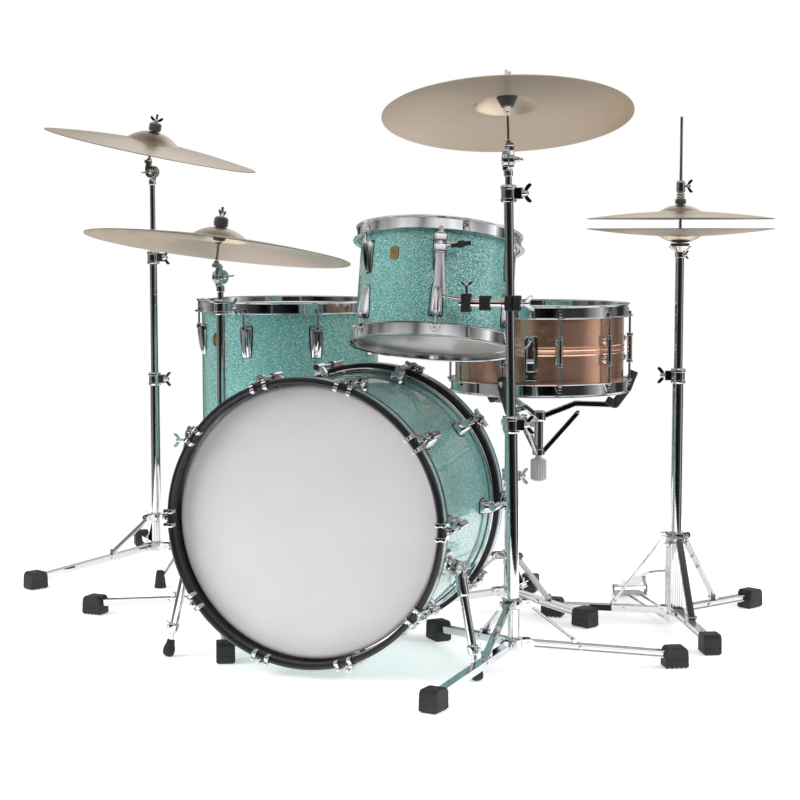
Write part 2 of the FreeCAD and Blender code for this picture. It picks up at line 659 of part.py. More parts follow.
# ---------------------------------------------------------------- stands

STANDS = {"left": LEFT, "ride": RIDE, "right": RIGHT, "hat": HAT, "basket": BASKET}


def standing(frame):
    """A stand's place on the floor, without any lean of its column."""
    return Placement(Vector(frame.Base), Rotation())


def leg_height(prefix, share):
    """Height of a leg's middle line, falling from the hub to its foot."""
    hub = number(f"{prefix}_hub")
    return hub + (24 - hub) * share


def tripod(prefix, frame):
    """Legs in the hub's forks, braces down from the collar, and block feet."""
    reach, hub, collar = (number(f"{prefix}_{word}") for word in ("reach", "hub", "collar"))
    share = number(f"{prefix}_brace")
    legs, braces, feet, ears = [], [], [], []
    for letter in "abc":
        spin = standing(frame) * spun(number(f"{prefix}_turn_{letter}"))
        upper = Vector(22, 0, leg_height(prefix, 22 / reach))
        line = pointing(upper, Vector(reach, 0, leg_height(prefix, 1)))
        legs.append(block(cell("leg_depth"), cell("leg_width"), reach - 30, spin * line))
        low = Vector(reach * share, 0, leg_height(prefix, share) + 12)
        brace = pointing(Vector(24, 0, collar), low)
        span = (low - Vector(24, 0, collar)).Length
        braces.append(block(cell("brace_depth"), cell("brace_width"), span, spin * brace))
        feet.append(tapered_foot(spin * at(reach, 0, 0)))
        for side in (-1, 1):
            leg_ear, brace_ear = (side * (number(word) / 2 + 1.6) for word in ("leg_width", "brace_width"))
            ears.append(block(30, 2.4, 17, spin * at(25, leg_ear, hub - 11)))
            ears.append(block(18, 2.4, 14, spin * at(22, brace_ear, collar - 7)))
    core = [rod(17, 19, frame * at(0, 0, hub - 9)), rod(16, 22, frame * at(0, 0, collar - 11)),
            wing_nut(frame * spun(number(f"{prefix}_turn_a") + 55) * at(16, 0, collar, ALONG, 90), 15)]
    casting = fused(core + ears)
    if prefix == "hat":
        casting = drilled(casting, rod(cell("hat_rod_radius") + 2, 60, frame * at(0, 0, collar - 30)))
    return legs, braces, feet, casting


def tapered_foot(place):
    """A rubber block with its top end edges cut back."""
    length, height = cell("foot_length"), cell("foot_height")
    side = length / 2
    outline = [(-side, 0), (side, 0), (side - 2, height - 5), (side - 6, height), (-side + 6, height),
               (-side + 2, height - 5)]
    return padded("foot", [outline], cell("foot_width"), place)


def clamp_casting(frame, height, bore, side):
    """A split collar at a tube's mouth with a wing screw at one side."""
    body = rod(15, 31, frame * at(0, 0, height - 15))
    jaw = block(16, 14, 22, frame * at(side * 18, 0, height - 10))
    wing = wing_nut(frame * at(side * 26, 0, height + 1, ALONG, side * 90), 18)
    return drilled(fused([body, jaw, wing]), rod(bore, 60, frame * at(0, 0, height - 30)))


def build_stands(extra_feet):
    legs, braces, feet, castings, tubes = [], [], list(extra_feet), [], []
    lower, middle, wall = cell("tube_lower"), cell("tube_middle"), cell("tube_wall")
    for prefix, frame in STANDS.items():
        made = tripod(prefix, frame)
        legs, braces, feet = legs + made[0], braces + made[1], feet + made[2]
        castings.append(made[3])
        clamp = number(f"{prefix}_clamp")
        bore = middle + 0.6
        castings.append(clamp_casting(frame, clamp, bore, -1 if prefix == "hat" else 1))
        bottom = number("hat_housing_top") if prefix == "hat" else number(f"{prefix}_hub") - 14
        tubes.append(tube(lower, wall, clamp - bottom, frame * at(0, 0, bottom)))
    upper_clamp = number("right_upper_clamp")
    tubes.append(tube(middle, wall, upper_clamp - 440, RIGHT * at(0, 0, 440)))
    castings.append(clamp_casting(RIGHT, upper_clamp, cell("tube_upper") + 0.6, 1))
    keep("stand_legs", grouped(legs))
    keep("stand_braces", grouped(braces))
    keep("rubber_feet", grouped(feet))
    keep("stand_castings", grouped(castings))
    keep("stand_lower_tubes", grouped(tubes))


# ---------------------------------------------------------------- cymbals and their tilters

def cymbal_loop(radius, bow, bell_radius, bell_rise):
    """Outline of a cymbal whose rim lies at height 0: a shallow bow with a domed bell in the middle."""
    thick = cell("cymbal_thickness")
    shares = [1, 0.9, 0.76, 0.6, 0.45]
    start = bell_radius / radius
    under = [(radius * share, bow * (1 - share ** 1.8)) for share in shares]
    foot = bow * (1 - float(start) ** 1.8)
    bell_shares = [1, 0.93, 0.8, 0.6, 0.35]
    under += [(bell_radius * share, foot + bell_rise * (1 - share ** 2.2)) for share in bell_shares]
    under.append((cell("cymbal_bore"), foot + bell_rise))
    over = [(out, height + thick) for out, height in reversed(under)]
    return [(out, height if float(height) else 0) for out, height in under] + over


def cymbal_frame(prefix, frame):
    """The tilted frame of a cymbal's post, and how far up it the rim's plane lies."""
    tilt = number(f"{prefix}_tilt")
    pivot = frame * at(0, 0, number(f"{prefix}_top")) * spun(number(f"{prefix}_way"))
    offset = number("post_offset")
    rise = number(f"{prefix}_plane") - number(f"{prefix}_top")
    along = (rise - offset * math.sin(math.radians(tilt))) / math.cos(math.radians(tilt))
    return pivot, pivot * at(0, 0, 0, ALONG, tilt) * at(-offset, 0, 0), along


def build_cymbal(prefix, node, frame):
    """Tilter with its post, seat cup, two felts and wing nut, and the cymbal that floats on the felts."""
    pivot, post, along = cymbal_frame(prefix, frame)
    bow, bell_radius, rise = cell("cymbal_bow"), cell("bell_radius"), cell("bell_rise")
    loop = cymbal_loop(cell(f"{prefix}_radius"), bow, bell_radius, rise)
    keep(f"{node}_cymbal", turned(f"{node}_cymbal", [loop], post * at(0, 0, along)))
    crown = float(loop[10][1]) + number("cymbal_thickness")
    seat = along + crown - number("cymbal_thickness") - 4.5
    disc = rod(15, 10, post * at(number("post_offset"), -0.6, 0, ACROSS, 90))
    arm = block(13, 10, 22, post * at(4, -5.6, 2))
    base = block(15, 17, 9, post * at(0, -2, 17))
    stem = rod(cell("cymbal_post"), along + crown + 42 - 20, post * at(0, 0, 20))
    cup = tapered(6, 19, 9, post * at(0, 0, seat - 14))
    screw = wing_nut(post * at(number("post_offset"), -10.6, 0, ACROSS, 90), 17)
    wing = wing_nut(post * at(0, 0, along + crown + 21), 15)
    casting = fused([disc, arm, base, stem, cup, screw, wing])
    low_felt = tube(19, 15.6, 5, post * at(0, 0, seat - 4.9))
    high_felt = tube(15, 11.6, 19, post * at(0, 0, along + crown + 1))
    keep(f"{node}_tilter", grouped([casting, low_felt, high_felt]))
    return pivot


def knuckle_half(pivot):
    """The stand's half of a toothed tilter, its disc beside the plane of the post."""
    return [rod(15, 10, pivot * at(0, 0.6, 0, ACROSS, -90)), block(12, 10, 14, pivot * at(0, 5.6, -19)),
            rod(8, 12, pivot * at(0, 0, -29))]


def build_cymbals():
    wall = cell("tube_wall")
    middle, upper = cell("tube_middle"), cell("tube_upper")
    for prefix, node, foot, joint in (("left", "left_crash", 330, 755), ("ride", "ride", 262, 662)):
        frame = STANDS[prefix]
        pivot = build_cymbal(prefix, node, frame)
        low = tube(middle, wall, joint - foot, frame * at(0, 0, foot))
        collar = rod(13, 26, frame * at(0, 0, joint - 6))
        wing = wing_nut(frame * at(13, 0, joint + 8, ALONG, 90), 16)
        high = tube(upper, wall, number(f"{prefix}_top") - 22 - joint, frame * at(0, 0, joint))
        keep(f"{node}_upper_tube", fused([low, collar, wing, high] + knuckle_half(pivot)))
    pivot = build_cymbal("right", "right_crash", RIGHT)
    foot = 800
    high = tube(upper, wall, number("right_top") - 22 - foot, RIGHT * at(0, 0, foot))
    keep("right_crash_upper_tube", fused([high] + knuckle_half(pivot)))


# ---------------------------------------------------------------- hi-hat

PEDAL = HAT * spun(number("pedal_turn"))
HEEL, TOE = Vector(305, 0, 24), Vector(64, 0, 102)


def build_hihat():
    wall, post = cell("tube_wall"), cell("hat_rod_radius")
    top, bottom = number("hat_top_edge"), number("hat_bottom_edge")
    loop = cymbal_loop(cell("hat_radius"), cell("hat_bow"), cell("hat_bell_radius"), cell("hat_bell_rise"))
    crown = float(loop[10][1]) + number("cymbal_thickness")
    keep("hihat_top_cymbal", turned("hihat_top_cymbal", [loop], HAT * at(0, 0, top)))
    keep("hihat_bottom_cymbal", turned("hihat_bottom_cymbal", [loop], HAT * at(0, 0, bottom) * FLIP))
    seat = bottom - crown - 0.3
    pole = tube(cell("tube_middle"), wall, seat - 17 - 380, HAT * at(0, 0, 380))
    seat_cup = fused([rod(10, 12, HAT * at(0, 0, seat - 28)), tapered(12, 23, 11, HAT * at(0, 0, seat - 17))])
    cup = drilled(seat_cup, rod(post + 2, 60, HAT * at(0, 0, seat - 40)))
    felt = tube(20, 15, 6, HAT * at(0, 0, seat - 6))
    keep("hihat_upper_tube", grouped([fused([pole, cup]), felt]))
    high = top + crown
    wing = wing_nut(HAT * at(9, 0, high + 38, ALONG, 90), 15)
    sleeve = fused([rod(6, 62, HAT * at(0, 0, high - 12)), rod(9, 5, HAT * at(0, 0, high - 12)),
                    rod(9, 22, HAT * at(0, 0, high + 26)), wing])
    felts = [tube(11, 4.8, 3, HAT * at(0, 0, high - 6)), tube(11, 4.8, 12, HAT * at(0, 0, high + 0.2))]
    keep("hihat_clutch", grouped([drilled(sleeve, rod(post + 0.4, 90, HAT * at(0, 0, high - 20)))] + felts))
    yoke = block(58, 10, 6, PEDAL * at(26, 0, 116))
    step = number("hat_rod_step")
    free_end = rod(cell("hat_rod_end"), number("hat_rod_top") - step, HAT * at(0, 0, step))
    keep("hihat_pull_rod", fused([rod(post, step - 100, HAT * at(0, 0, 100)), free_end, yoke]))

    housing_top = number("hat_housing_top")
    body = block(34, 34, housing_top - 24, PEDAL * at(0, 0, 24))
    ribs = [block(2, 2.4, housing_top - 40, PEDAL * spun(quarter) * at(17.6, shift, 32))
            for quarter in (90, 180, 270) for shift in (-10, -3.4, 3.4, 10)]
    well = rod(7, housing_top, HAT * at(0, 0, 34))
    slot = block(60, 14, 50, PEDAL * at(30, 0, 90))
    stays = [rod(3, 292, PEDAL * at(8, side * 14, 9, ALONG, 90)) for side in (-1, 1)]
    heel = block(56, 80, 7, PEDAL * at(312, 0, 0))
    hinge = [block(16, 4, 24, PEDAL * at(305, side * 39, 6)) for side in (-1, 1)]
    base = block(30, 40, 18, PEDAL * at(4, 0, 8))
    whole_frame = fused([body, *ribs, *stays, heel, *hinge, base])
    keep("hihat_frame", drilled(drilled(whole_frame, well), slot))
    run = pointing(HEEL, TOE)
    board = block(5, cell("pedal_width") - 6, (TOE - HEEL).Length, PEDAL * run)
    pin = rod(3.5, 72, PEDAL * at(HEEL.x, -36, HEEL.z, ACROSS, -90))
    keep("hihat_footboard", fused([board, pin]))


# ---------------------------------------------------------------- build, check and write

build_bass_drum()
build_spurs()
build_rack_tom()
build_tom_clamp()
leg_tips = build_floor_tom()
build_snare()
build_basket()
build_stands(leg_tips)
build_cymbals()
build_hihat()
doc.recompute()

for thing in doc.Objects:
    if "Invalid" in thing.State or "Error" in thing.State:
        raise RuntimeError(f"{thing.Name} failed: {thing.State}")
for node, thing in nodes.items():
    if thing.Shape.isNull() or not thing.Shape.isValid() or not thing.Shape.Solids:
        raise RuntimeError(f"{node} has no valid shape")

os.makedirs("parts", exist_ok=True)
whole = FreeCAD.BoundBox()
for node, thing in nodes.items():
    thing.Shape.exportStep(f"parts/{node}.step")
    whole.add(thing.Shape.BoundBox)
print(f"{len(nodes)} nodes, box {whole}")
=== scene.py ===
"""The looks of an acoustic drum kit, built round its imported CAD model.

Forms are worked out in millimetres and degrees, and turned into metres when a piece is made.
Every place comes from the frame: the CAD nodes' own corners, and the joints' axes and anchors.
"""

import json
import math

import bmesh
import bpy
import numpy as np
from mathutils import Matrix, Vector


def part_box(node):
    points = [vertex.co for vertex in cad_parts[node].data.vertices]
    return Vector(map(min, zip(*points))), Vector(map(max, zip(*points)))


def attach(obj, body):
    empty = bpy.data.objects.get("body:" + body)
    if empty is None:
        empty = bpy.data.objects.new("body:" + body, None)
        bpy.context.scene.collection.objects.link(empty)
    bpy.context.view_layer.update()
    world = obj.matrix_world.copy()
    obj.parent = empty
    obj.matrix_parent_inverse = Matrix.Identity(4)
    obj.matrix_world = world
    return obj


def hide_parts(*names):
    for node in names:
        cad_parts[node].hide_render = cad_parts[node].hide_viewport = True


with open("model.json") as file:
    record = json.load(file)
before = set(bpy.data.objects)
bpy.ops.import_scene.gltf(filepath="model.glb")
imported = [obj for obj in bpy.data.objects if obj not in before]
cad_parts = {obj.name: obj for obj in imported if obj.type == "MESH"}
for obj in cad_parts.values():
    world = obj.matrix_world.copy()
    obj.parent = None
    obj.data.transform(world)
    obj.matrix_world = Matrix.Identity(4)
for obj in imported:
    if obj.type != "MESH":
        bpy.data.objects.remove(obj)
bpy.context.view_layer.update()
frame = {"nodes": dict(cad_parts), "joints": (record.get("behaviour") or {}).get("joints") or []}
METRE = 1000
UP = Vector((0, 0, 1))
ROUND = 176  # points round a drum


# ---------------------------------------------------------------- placements, in millimetres

def at(x, y, z):
    return Matrix.Translation((x, y, z))


def spin(angle, axis="Z"):
    return Matrix.Rotation(math.radians(angle), 4, axis)


FLIP = spin(180, "X")
# lays a form against a drum's wall: its X runs up, and its Z outwards
ON_WALL = spin(-90, "Y") @ FLIP
# lays a form along a line: its Y runs along the line's Z, and its Z along the line's X
ALONG = Matrix(((0, 0, 1, 0), (1, 0, 0, 0), (0, 1, 0, 0), (0, 0, 0, 1)))


def bearing(point):
    """How far round Z a point is, in degrees."""
    return math.degrees(math.atan2(point[1], point[0]))


def axes(origin, z_axis, x_hint):
    """A frame at a point, with its Z along one direction and its X as near as it can be to a second one."""
    z = Vector(z_axis).normalized()
    x = Vector(x_hint)
    x = (x - z * x.dot(z)).normalized()
    placed = Matrix((x, z.cross(x), z)).transposed().to_4x4()
    placed.translation = Vector(origin)
    return placed


def aim(start, end, x_hint=(0, 0, 1)):
    return axes(start, Vector(end) - Vector(start), x_hint)


def seen_from(points, place):
    """Points in a frame's own coordinates."""
    inverse = np.array(place.inverted())
    return np.asarray(points) @ inverse[:3, :3].T + inverse[:3, 3]


# ---------------------------------------------------------------- reading the frame

def corners(node):
    low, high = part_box(node)
    return low * METRE, high * METRE


def joint(name):
    return next(item for item in frame["joints"] if item["name"] == name)


def anchor(name):
    return Vector(joint(name)["pos_m"]) * METRE


def axis_of(name):
    return Vector(joint(name)["axis"])


def solids(node):
    """The corner points of each separate solid of a CAD node."""
    mesh = frame["nodes"][node].data
    points = np.empty(len(mesh.vertices) * 3)
    mesh.vertices.foreach_get("co", points)
    points = np.round(points.reshape(-1, 3) * METRE, 3)
    points, owner = np.unique(points, axis=0, return_inverse=True)
    edges = np.empty(len(mesh.edges) * 2, np.int64)
    mesh.edges.foreach_get("vertices", edges)
    parent = list(range(len(points)))

    def root(index):
        while parent[index] != index:
            parent[index] = parent[parent[index]]
            index = parent[index]
        return index

    for first, second in owner.ravel()[edges].reshape(-1, 2).tolist():
        parent[root(first)] = root(second)
    label = np.array([root(index) for index in range(len(points))])
    return [points[label == value] for value in np.unique(label)]


def middle_of(points):
    return Vector((points.min(0) + points.max(0)) / 2)


def ends_of(points):
    """The middles of a long solid's two ends, the higher one first."""
    centred = points - points.mean(0)
    direction = np.linalg.svd(centred, full_matrices=False)[2][0]
    along = centred @ direction
    margin = (along.max() - along.min()) * 0.02
    tips = [middle_of(points[along > along.max() - margin]), middle_of(points[along < along.min() + margin])]
    return sorted(tips, key=lambda tip: -tip.z)


# ---------------------------------------------------------------- forms: points and faces in millimetres

class Form:
    """Points and faces of one or more closed surfaces."""

    def __init__(self, points, faces):
        self.points = np.asarray(points, float).reshape(-1, 3)
        self.faces = [tuple(face) for face in faces]

    def placed(self, *places):
        return joined(*[self.moved(place) for place in places])

    def moved(self, place):
        matrix = np.array(place)
        return Form(self.points @ matrix[:3, :3].T + matrix[:3, 3], self.faces)


def joined(*forms):
    points, faces, count = [], [], 0
    for form in forms:
        points.append(form.points)
        faces += [tuple(index + count for index in face) for face in form.faces]
        count += len(form.points)
    return Form(np.vstack(points), faces)


def skin(rings, looped=False):
    """A surface through rings of points, capped at both ends unless the rings close on themselves."""
    rings = np.asarray(rings, float)
    rows, count = rings.shape[:2]
    faces = []
    for row in range(rows if looped else rows - 1):
        low, high = row * count, (row + 1) % rows * count
        faces += [(low + k, low + (k + 1) % count, high + (k + 1) % count, high + k) for k in range(count)]
    if not looped:
        faces += [tuple(range(count))[::-1], tuple((rows - 1) * count + k for k in range(count))]
    return Form(rings, faces)


def level(outline, z):
    """An outline at one height."""
    return np.column_stack([outline, np.full(len(outline), float(z))])


def circle(radius, z, count):
    turn = np.arange(count) * 2 * math.pi / count
    return level(np.column_stack([radius * np.cos(turn), radius * np.sin(turn)]), z)


def lathe(profile, count=28, looped=False):
    """A turned form, from (radius, height) points. It ends in flat caps unless the profile loops."""
    return skin([circle(radius, z, count) for radius, z in profile if radius > 0.01 or looped], looped)


def rounded(points, radius, steps=3, looped=True):
    """An outline with its corners eased by short curves."""
    points = [Vector((x, y)) for x, y in points]
    made = []
    for index, corner in enumerate(points):
        if not looped and index in (0, len(points) - 1):
            made.append(tuple(corner))
            continue
        before = points[index - 1] - corner
        after = points[(index + 1) % len(points)] - corner
        reach = min(radius, before.length * 0.45, after.length * 0.45)
        first, last = corner + before.normalized() * reach, corner + after.normalized() * reach
        for step in range(steps + 1):
            share = step / steps
            place = first * (1 - share) ** 2 + corner * 2 * share * (1 - share) + last * share ** 2
            made.append(tuple(place))
    return made


def rectangle(width, height, radius=1.5):
    return rounded(mirrored([(width / 2, -height / 2), (width / 2, height / 2)]), radius)


def mirrored(half, side=0):
    """A closed outline from one half of it and its mirror image, across Y or, with side 1, across X."""
    flip = (-1, 1) if side == 0 else (1, -1)
    return list(half) + [(x * flip[0], y * flip[1]) for x, y in reversed(half)]


def octagon(across, up, cut_across, cut_up):
    """A rectangle of these half sizes with its corners cut off."""
    return mirrored([(across - cut_across, -up), (across, cut_up - up), (across, up - cut_up),
                     (across - cut_across, up)])


def turned(outline, ease, steps=3, count=None):
    """A closed outline with eased corners, turned round Z."""
    return lathe(rounded(outline, ease, steps), count or ROUND, looped=True)


def drawn_in(outline, amount):
    """An outline moved inwards by the same distance all round."""
    points = np.asarray(outline, float)
    following = np.roll(points, -1, 0)
    area = np.sum(points[:, 0] * following[:, 1] - following[:, 0] * points[:, 1])
    edge = following - points
    edge /= np.maximum(np.linalg.norm(edge, axis=1, keepdims=True), 1e-9)
    normal = np.column_stack([-edge[:, 1], edge[:, 0]]) * np.sign(area)
    before = np.roll(normal, 1, 0)
    mitre = (normal + before) / np.maximum(1 + np.sum(normal * before, axis=1, keepdims=True), 0.4)
    return points + mitre * amount


def eased(low, high, bevel):
    """How far in, and how high, each ring of a bar with eased ends is."""
    return [(bevel, low), (bevel * 0.3, low + bevel * 0.3), (0, low + bevel),
            (0, high - bevel), (bevel * 0.3, high - bevel * 0.3), (bevel, high)]


def bar(outline, low, high, bevel=0.8):
    """An outline in XY drawn out along Z, with eased edges."""
    return skin([level(drawn_in(outline, amount), z) for amount, z in eased(low, high, bevel)])


def slab(length, width, low, high, radius=1.5, bevel=0.8):
    return bar(rectangle(length, width, radius), low, high, bevel)


def peg(radius, low, high, bevel=0.7, count=28):
    """A round bar with eased ends."""
    return lathe([(radius - amount, z) for amount, z in eased(low, high, bevel)], count)


def ring(outer, inner, low, high, bevel=0.5, count=32):
    return turned([(inner, low), (outer, low), (outer, high), (inner, high)], bevel, 2, count)


def bent(points, bend, steps=7):
    """Straight runs with each corner turned by an arc."""
    points = [Vector(point) for point in points]
    route = [points[0]]
    for before, corner, after in zip(points, points[1:], points[2:]):
        back, ahead = (before - corner).normalized(), (after - corner).normalized()
        half = back.angle(ahead) / 2
        reach = min(bend / math.tan(half), (before - corner).length * 0.48, (after - corner).length * 0.48)
        radius = reach * math.tan(half)
        centre = corner + (back + ahead).normalized() * (radius / math.sin(half))
        start, end = corner + back * reach - centre, corner + ahead * reach - centre
        route += [centre + start.slerp(end, step / steps) for step in range(steps + 1)]
    return route + [points[-1]]


def pipe(route, radius, count=18, section=None):
    """A rod along a route with eased ends; the section is a circle unless an outline is given."""
    route = [Vector(point) for point in route]
    first, last = (route[1] - route[0]).normalized(), (route[-1] - route[-2]).normalized()
    ease = min(radius * 0.25, 1.2)
    route = [route[0], route[0] + first * ease] + route[1:-1] + [route[-1] - last * ease, route[-1]]
    outline = np.asarray(section if section is not None else circle(radius, 0, count)[:, :2])
    side = first.orthogonal().normalized() if abs(first.z) > 0.99 else first.cross(UP).normalized()
    rings = []
    for index, point in enumerate(route):
        ahead = route[min(index + 1, len(route) - 1)] - route[max(index - 1, 0)]
        ahead.normalize()
        side = (side - ahead * side.dot(ahead)).normalized()
        upward = ahead.cross(side)
        size = 1 - ease / radius if index in (0, len(route) - 1) else 1
        rings.append([point + (side * x + upward * y) * size for x, y in outline])
    return skin(rings)


def dome(radius, height, low, count=28, steps=6):
    """A low cap that rises from a circle."""
    turns = [math.pi / 2 * step / steps for step in range(steps + 1)]
    profile = [(radius * math.cos(turn * 0.97), low + height * math.sin(turn)) for turn in turns]
    return lathe([(radius, low - 0.4)] + profile, count)


# ---------------------------------------------------------------- materials, each made as its name and itself

def new_material(name):
    """A material, its node tree and its shader."""
    made = bpy.data.materials.new(name)
    made.use_nodes = True
    return made, made.node_tree, made.node_tree.nodes["Principled BSDF"]


def feed(tree, socket, value):
    """Links a socket that feeds an input, or gives the input a value."""
    if isinstance(value, bpy.types.NodeSocket):
        tree.links.new(value, socket)
    else:
        socket.default_value = value


def settle(tree, node, **values):
    """Feeds the inputs of these names, with underscores for spaces. Other names are the node's settings."""
    for key, value in values.items():
        label = key.replace("_", " ")
        if label in node.inputs:
            feed(tree, node.inputs[label], value)
        else:
            setattr(node, key, value)
    return node


def add(tree, kind, *sources, **values):
    """A new node, whose first inputs are fed by the sources in order."""
    node = settle(tree, tree.nodes.new(kind), **values)
    for socket, source in zip(node.inputs, sources):
        feed(tree, socket, source)
    return node


def own_coordinates(tree):
    return add(tree, "ShaderNodeTexCoord").outputs["Object"]


def noise(tree, scale, detail=3.0, coordinates=None):
    place = coordinates or own_coordinates(tree)
    return add(tree, "ShaderNodeTexNoise", place, Scale=scale, Detail=detail).outputs["Fac"]


def ramp(tree, source, stops):
    node = add(tree, "ShaderNodeValToRGB", source)
    while len(node.color_ramp.elements) < len(stops):
        node.color_ramp.elements.new(0.5)
    for element, (place, colour) in zip(node.color_ramp.elements, stops):
        element.position = place
        element.color = (*colour, 1)
    return node.outputs["Color"]


def spread(tree, source, low, high):
    """A grey value stretched to run from low to high."""
    return add(tree, "ShaderNodeMapRange", source, To_Min=low, To_Max=high).outputs["Result"]


def bump(tree, height, strength, distance, **more):
    node = add(tree, "ShaderNodeBump", Height=height, Strength=strength, Distance=distance, **more)
    return node.outputs["Normal"]


def vector_math(tree, operation, *sources, result="Vector", **more):
    return add(tree, "ShaderNodeVectorMath", *sources, operation=operation, **more).outputs[result]


def toned(colour, share):
    return tuple(min(1, value * share) for value in colour)


def plain(name, colour, roughness, metallic=0.0, tone=0.08, grain=400.0, depth=0.0, **more):
    """A finish whose colour and roughness wander slightly, with a fine grain pressed into it."""
    made, tree, shader = new_material(name)
    if depth:
        more["Normal"] = bump(tree, noise(tree, grain, 6.0), 0.5, depth)
    cloud = ramp(tree, noise(tree, 14.0), [(0.3, toned(colour, 1 - tone)), (0.7, toned(colour, 1 + tone))])
    wander = spread(tree, noise(tree, 60.0), roughness * 0.75, roughness * 1.3)
    settle(tree, shader, Base_Color=cloud, Roughness=wander, Metallic=metallic, **more)
    return name, made


def glitter(name, stops, flake=0.0012):
    """Flakes of foil, each with a shade and a tilt of its own, under a clear coat."""
    made, tree, shader = new_material(name)
    cells = add(tree, "ShaderNodeTexVoronoi", own_coordinates(tree), Scale=1 / flake).outputs["Color"]
    shade = add(tree, "ShaderNodeSeparateColor", cells).outputs["Red"]
    tilt = vector_math(tree, "SCALE", vector_math(tree, "SUBTRACT", cells, (0.5, 0.5, 0.5)), Scale=0.6)
    surface = add(tree, "ShaderNodeNewGeometry").outputs["Normal"]
    facing = vector_math(tree, "NORMALIZE", vector_math(tree, "ADD", surface, tilt))
    settle(tree, shader, Base_Color=ramp(tree, shade, stops), Normal=facing, Metallic=0.5, Roughness=0.3,
           Coat_Weight=1.0, Coat_Roughness=0.03)
    return name, made


def grooved_bronze(name, colour, hammered):
    """Turned bronze: fine rings round the middle, wide soft tone rings, and hammer marks."""
    made, tree, shader = new_material(name)
    place = own_coordinates(tree)
    radius = vector_math(tree, "LENGTH", vector_math(tree, "MULTIPLY", place, (1, 1, 0)), result="Value")
    line = add(tree, "ShaderNodeCombineXYZ", radius).outputs["Vector"]
    grooves, rings = noise(tree, 900.0, 4.0, line), noise(tree, 90.0, 2.0, line)
    blend = add(tree, "ShaderNodeMath", grooves, spread(tree, rings, 0.75, 1.2), operation="MULTIPLY")
    stops = [(0.3, toned(colour, 0.80)), (0.66, toned(colour, 1.14))]
    marks = add(tree, "ShaderNodeTexVoronoi", place, Scale=42.0).outputs["Distance"]
    fine = bump(tree, grooves, 0.35, 0.0002)
    tangent = add(tree, "ShaderNodeTangent", direction_type="RADIAL", axis="Z").outputs["Tangent"]
    settle(tree, shader, Base_Color=ramp(tree, blend.outputs["Value"], stops), Metallic=1.0, Anisotropic=0.55,
           Roughness=spread(tree, rings, 0.24, 0.42), Normal=bump(tree, marks, hammered, 0.0012, Normal=fine),
           Tangent=tangent)
    return name, made


def wood(name):
    made, tree, shader = new_material(name)
    stretched = add(tree, "ShaderNodeMapping", own_coordinates(tree), Scale=(1, 1, 9)).outputs["Vector"]
    grain = ramp(tree, noise(tree, 26.0, 6.0, stretched),
                 [(0.3, (0.45, 0.27, 0.13)), (0.7, (0.68, 0.46, 0.26))])
    settle(tree, shader, Base_Color=grain, Roughness=0.5)
    return name, made


GLITTER_STOPS = [(0.0, (0.03, 0.20, 0.175)), (0.25, (0.085, 0.38, 0.34)), (0.6, (0.20, 0.56, 0.52)),
                 (0.85, (0.40, 0.74, 0.71)), (0.97, (0.92, 1.0, 0.98))]
INLAY_STOPS = [(0.0, (0.06, 0.22, 0.20)), (0.5, (0.24, 0.48, 0.45)), (0.85, (0.45, 0.68, 0.65)),
               (1.0, (0.9, 1.0, 0.98))]

MATERIALS = dict((
    glitter("glitter_wrap", GLITTER_STOPS),
    glitter("glitter_inlay", INLAY_STOPS),
    plain("black_lacquer", (0.008, 0.008, 0.009), 0.30, depth=0.00003, grain=90.0,
          Specular_IOR_Level=0.32, Coat_Weight=0.25, Coat_Roughness=0.06),
    plain("coated_head", (0.60, 0.58, 0.60), 0.5, tone=0.02, grain=1500.0, depth=0.00003),
    plain("clear_head", (0.56, 0.53, 0.51), 0.24, tone=0.06, Transmission_Weight=0.2, IOR=1.3),
    plain("chrome", (0.7, 0.7, 0.715), 0.055, 1.0, tone=0.01),
    plain("satin_steel", (0.62, 0.62, 0.64), 0.26, 1.0, tone=0.04),
    plain("cast_grey", (0.50, 0.50, 0.52), 0.30, 0.35, tone=0.05),
    plain("rubber", (0.018, 0.018, 0.019), 0.62, tone=0.2, grain=900.0, depth=0.00012),
    plain("gasket", (0.012, 0.012, 0.012), 0.5, tone=0.1),
    plain("felt", (0.035, 0.033, 0.033), 0.95, tone=0.35, grain=1400.0, depth=0.0006, Sheen_Weight=0.6),
    plain("copper", (0.86, 0.50, 0.36), 0.24, 0.9, tone=0.07, Coat_Weight=0.5, Coat_Roughness=0.05),
    grooved_bronze("bronze", (0.66, 0.55, 0.42), 0.30),
    plain("steel_wire", (0.60, 0.60, 0.62), 0.22, 1.0, tone=0.05),
    plain("badge_metal", (0.48, 0.36, 0.15), 0.32, 1.0, tone=0.18, grain=700.0, depth=0.0001),
    wood("maple"),
))


# ---------------------------------------------------------------- making pieces

def piece(name, form, finish, body, stands_for=(), place=None, sharp=38):
    """One visible piece: its mesh, finish and body, and the CAD nodes that it stands for."""
    place = place or Matrix.Identity(4)
    mesh = bpy.data.meshes.new(name)
    mesh.from_pydata((form.points / METRE).tolist(), [], form.faces)
    edit = bmesh.new()
    edit.from_mesh(mesh)
    bmesh.ops.recalc_face_normals(edit, faces=edit.faces)
    edit.to_mesh(mesh)
    edit.free()
    mesh.polygons.foreach_set("use_smooth", [True] * len(mesh.polygons))
    mesh.set_sharp_from_angle(angle=math.radians(sharp))
    mesh.materials.append(MATERIALS[finish])
    made = bpy.data.objects.new(name, mesh)
    bpy.context.scene.collection.objects.link(made)
    moved = place.copy()
    moved.translation = place.translation / METRE
    made.matrix_world = moved
    made.modifiers.new("flat_faces", "WEIGHTED_NORMAL").keep_sharp = True
    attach(made, body)
    if stands_for:
        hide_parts(*stands_for)
    return made


# ---------------------------------------------------------------- small hardware

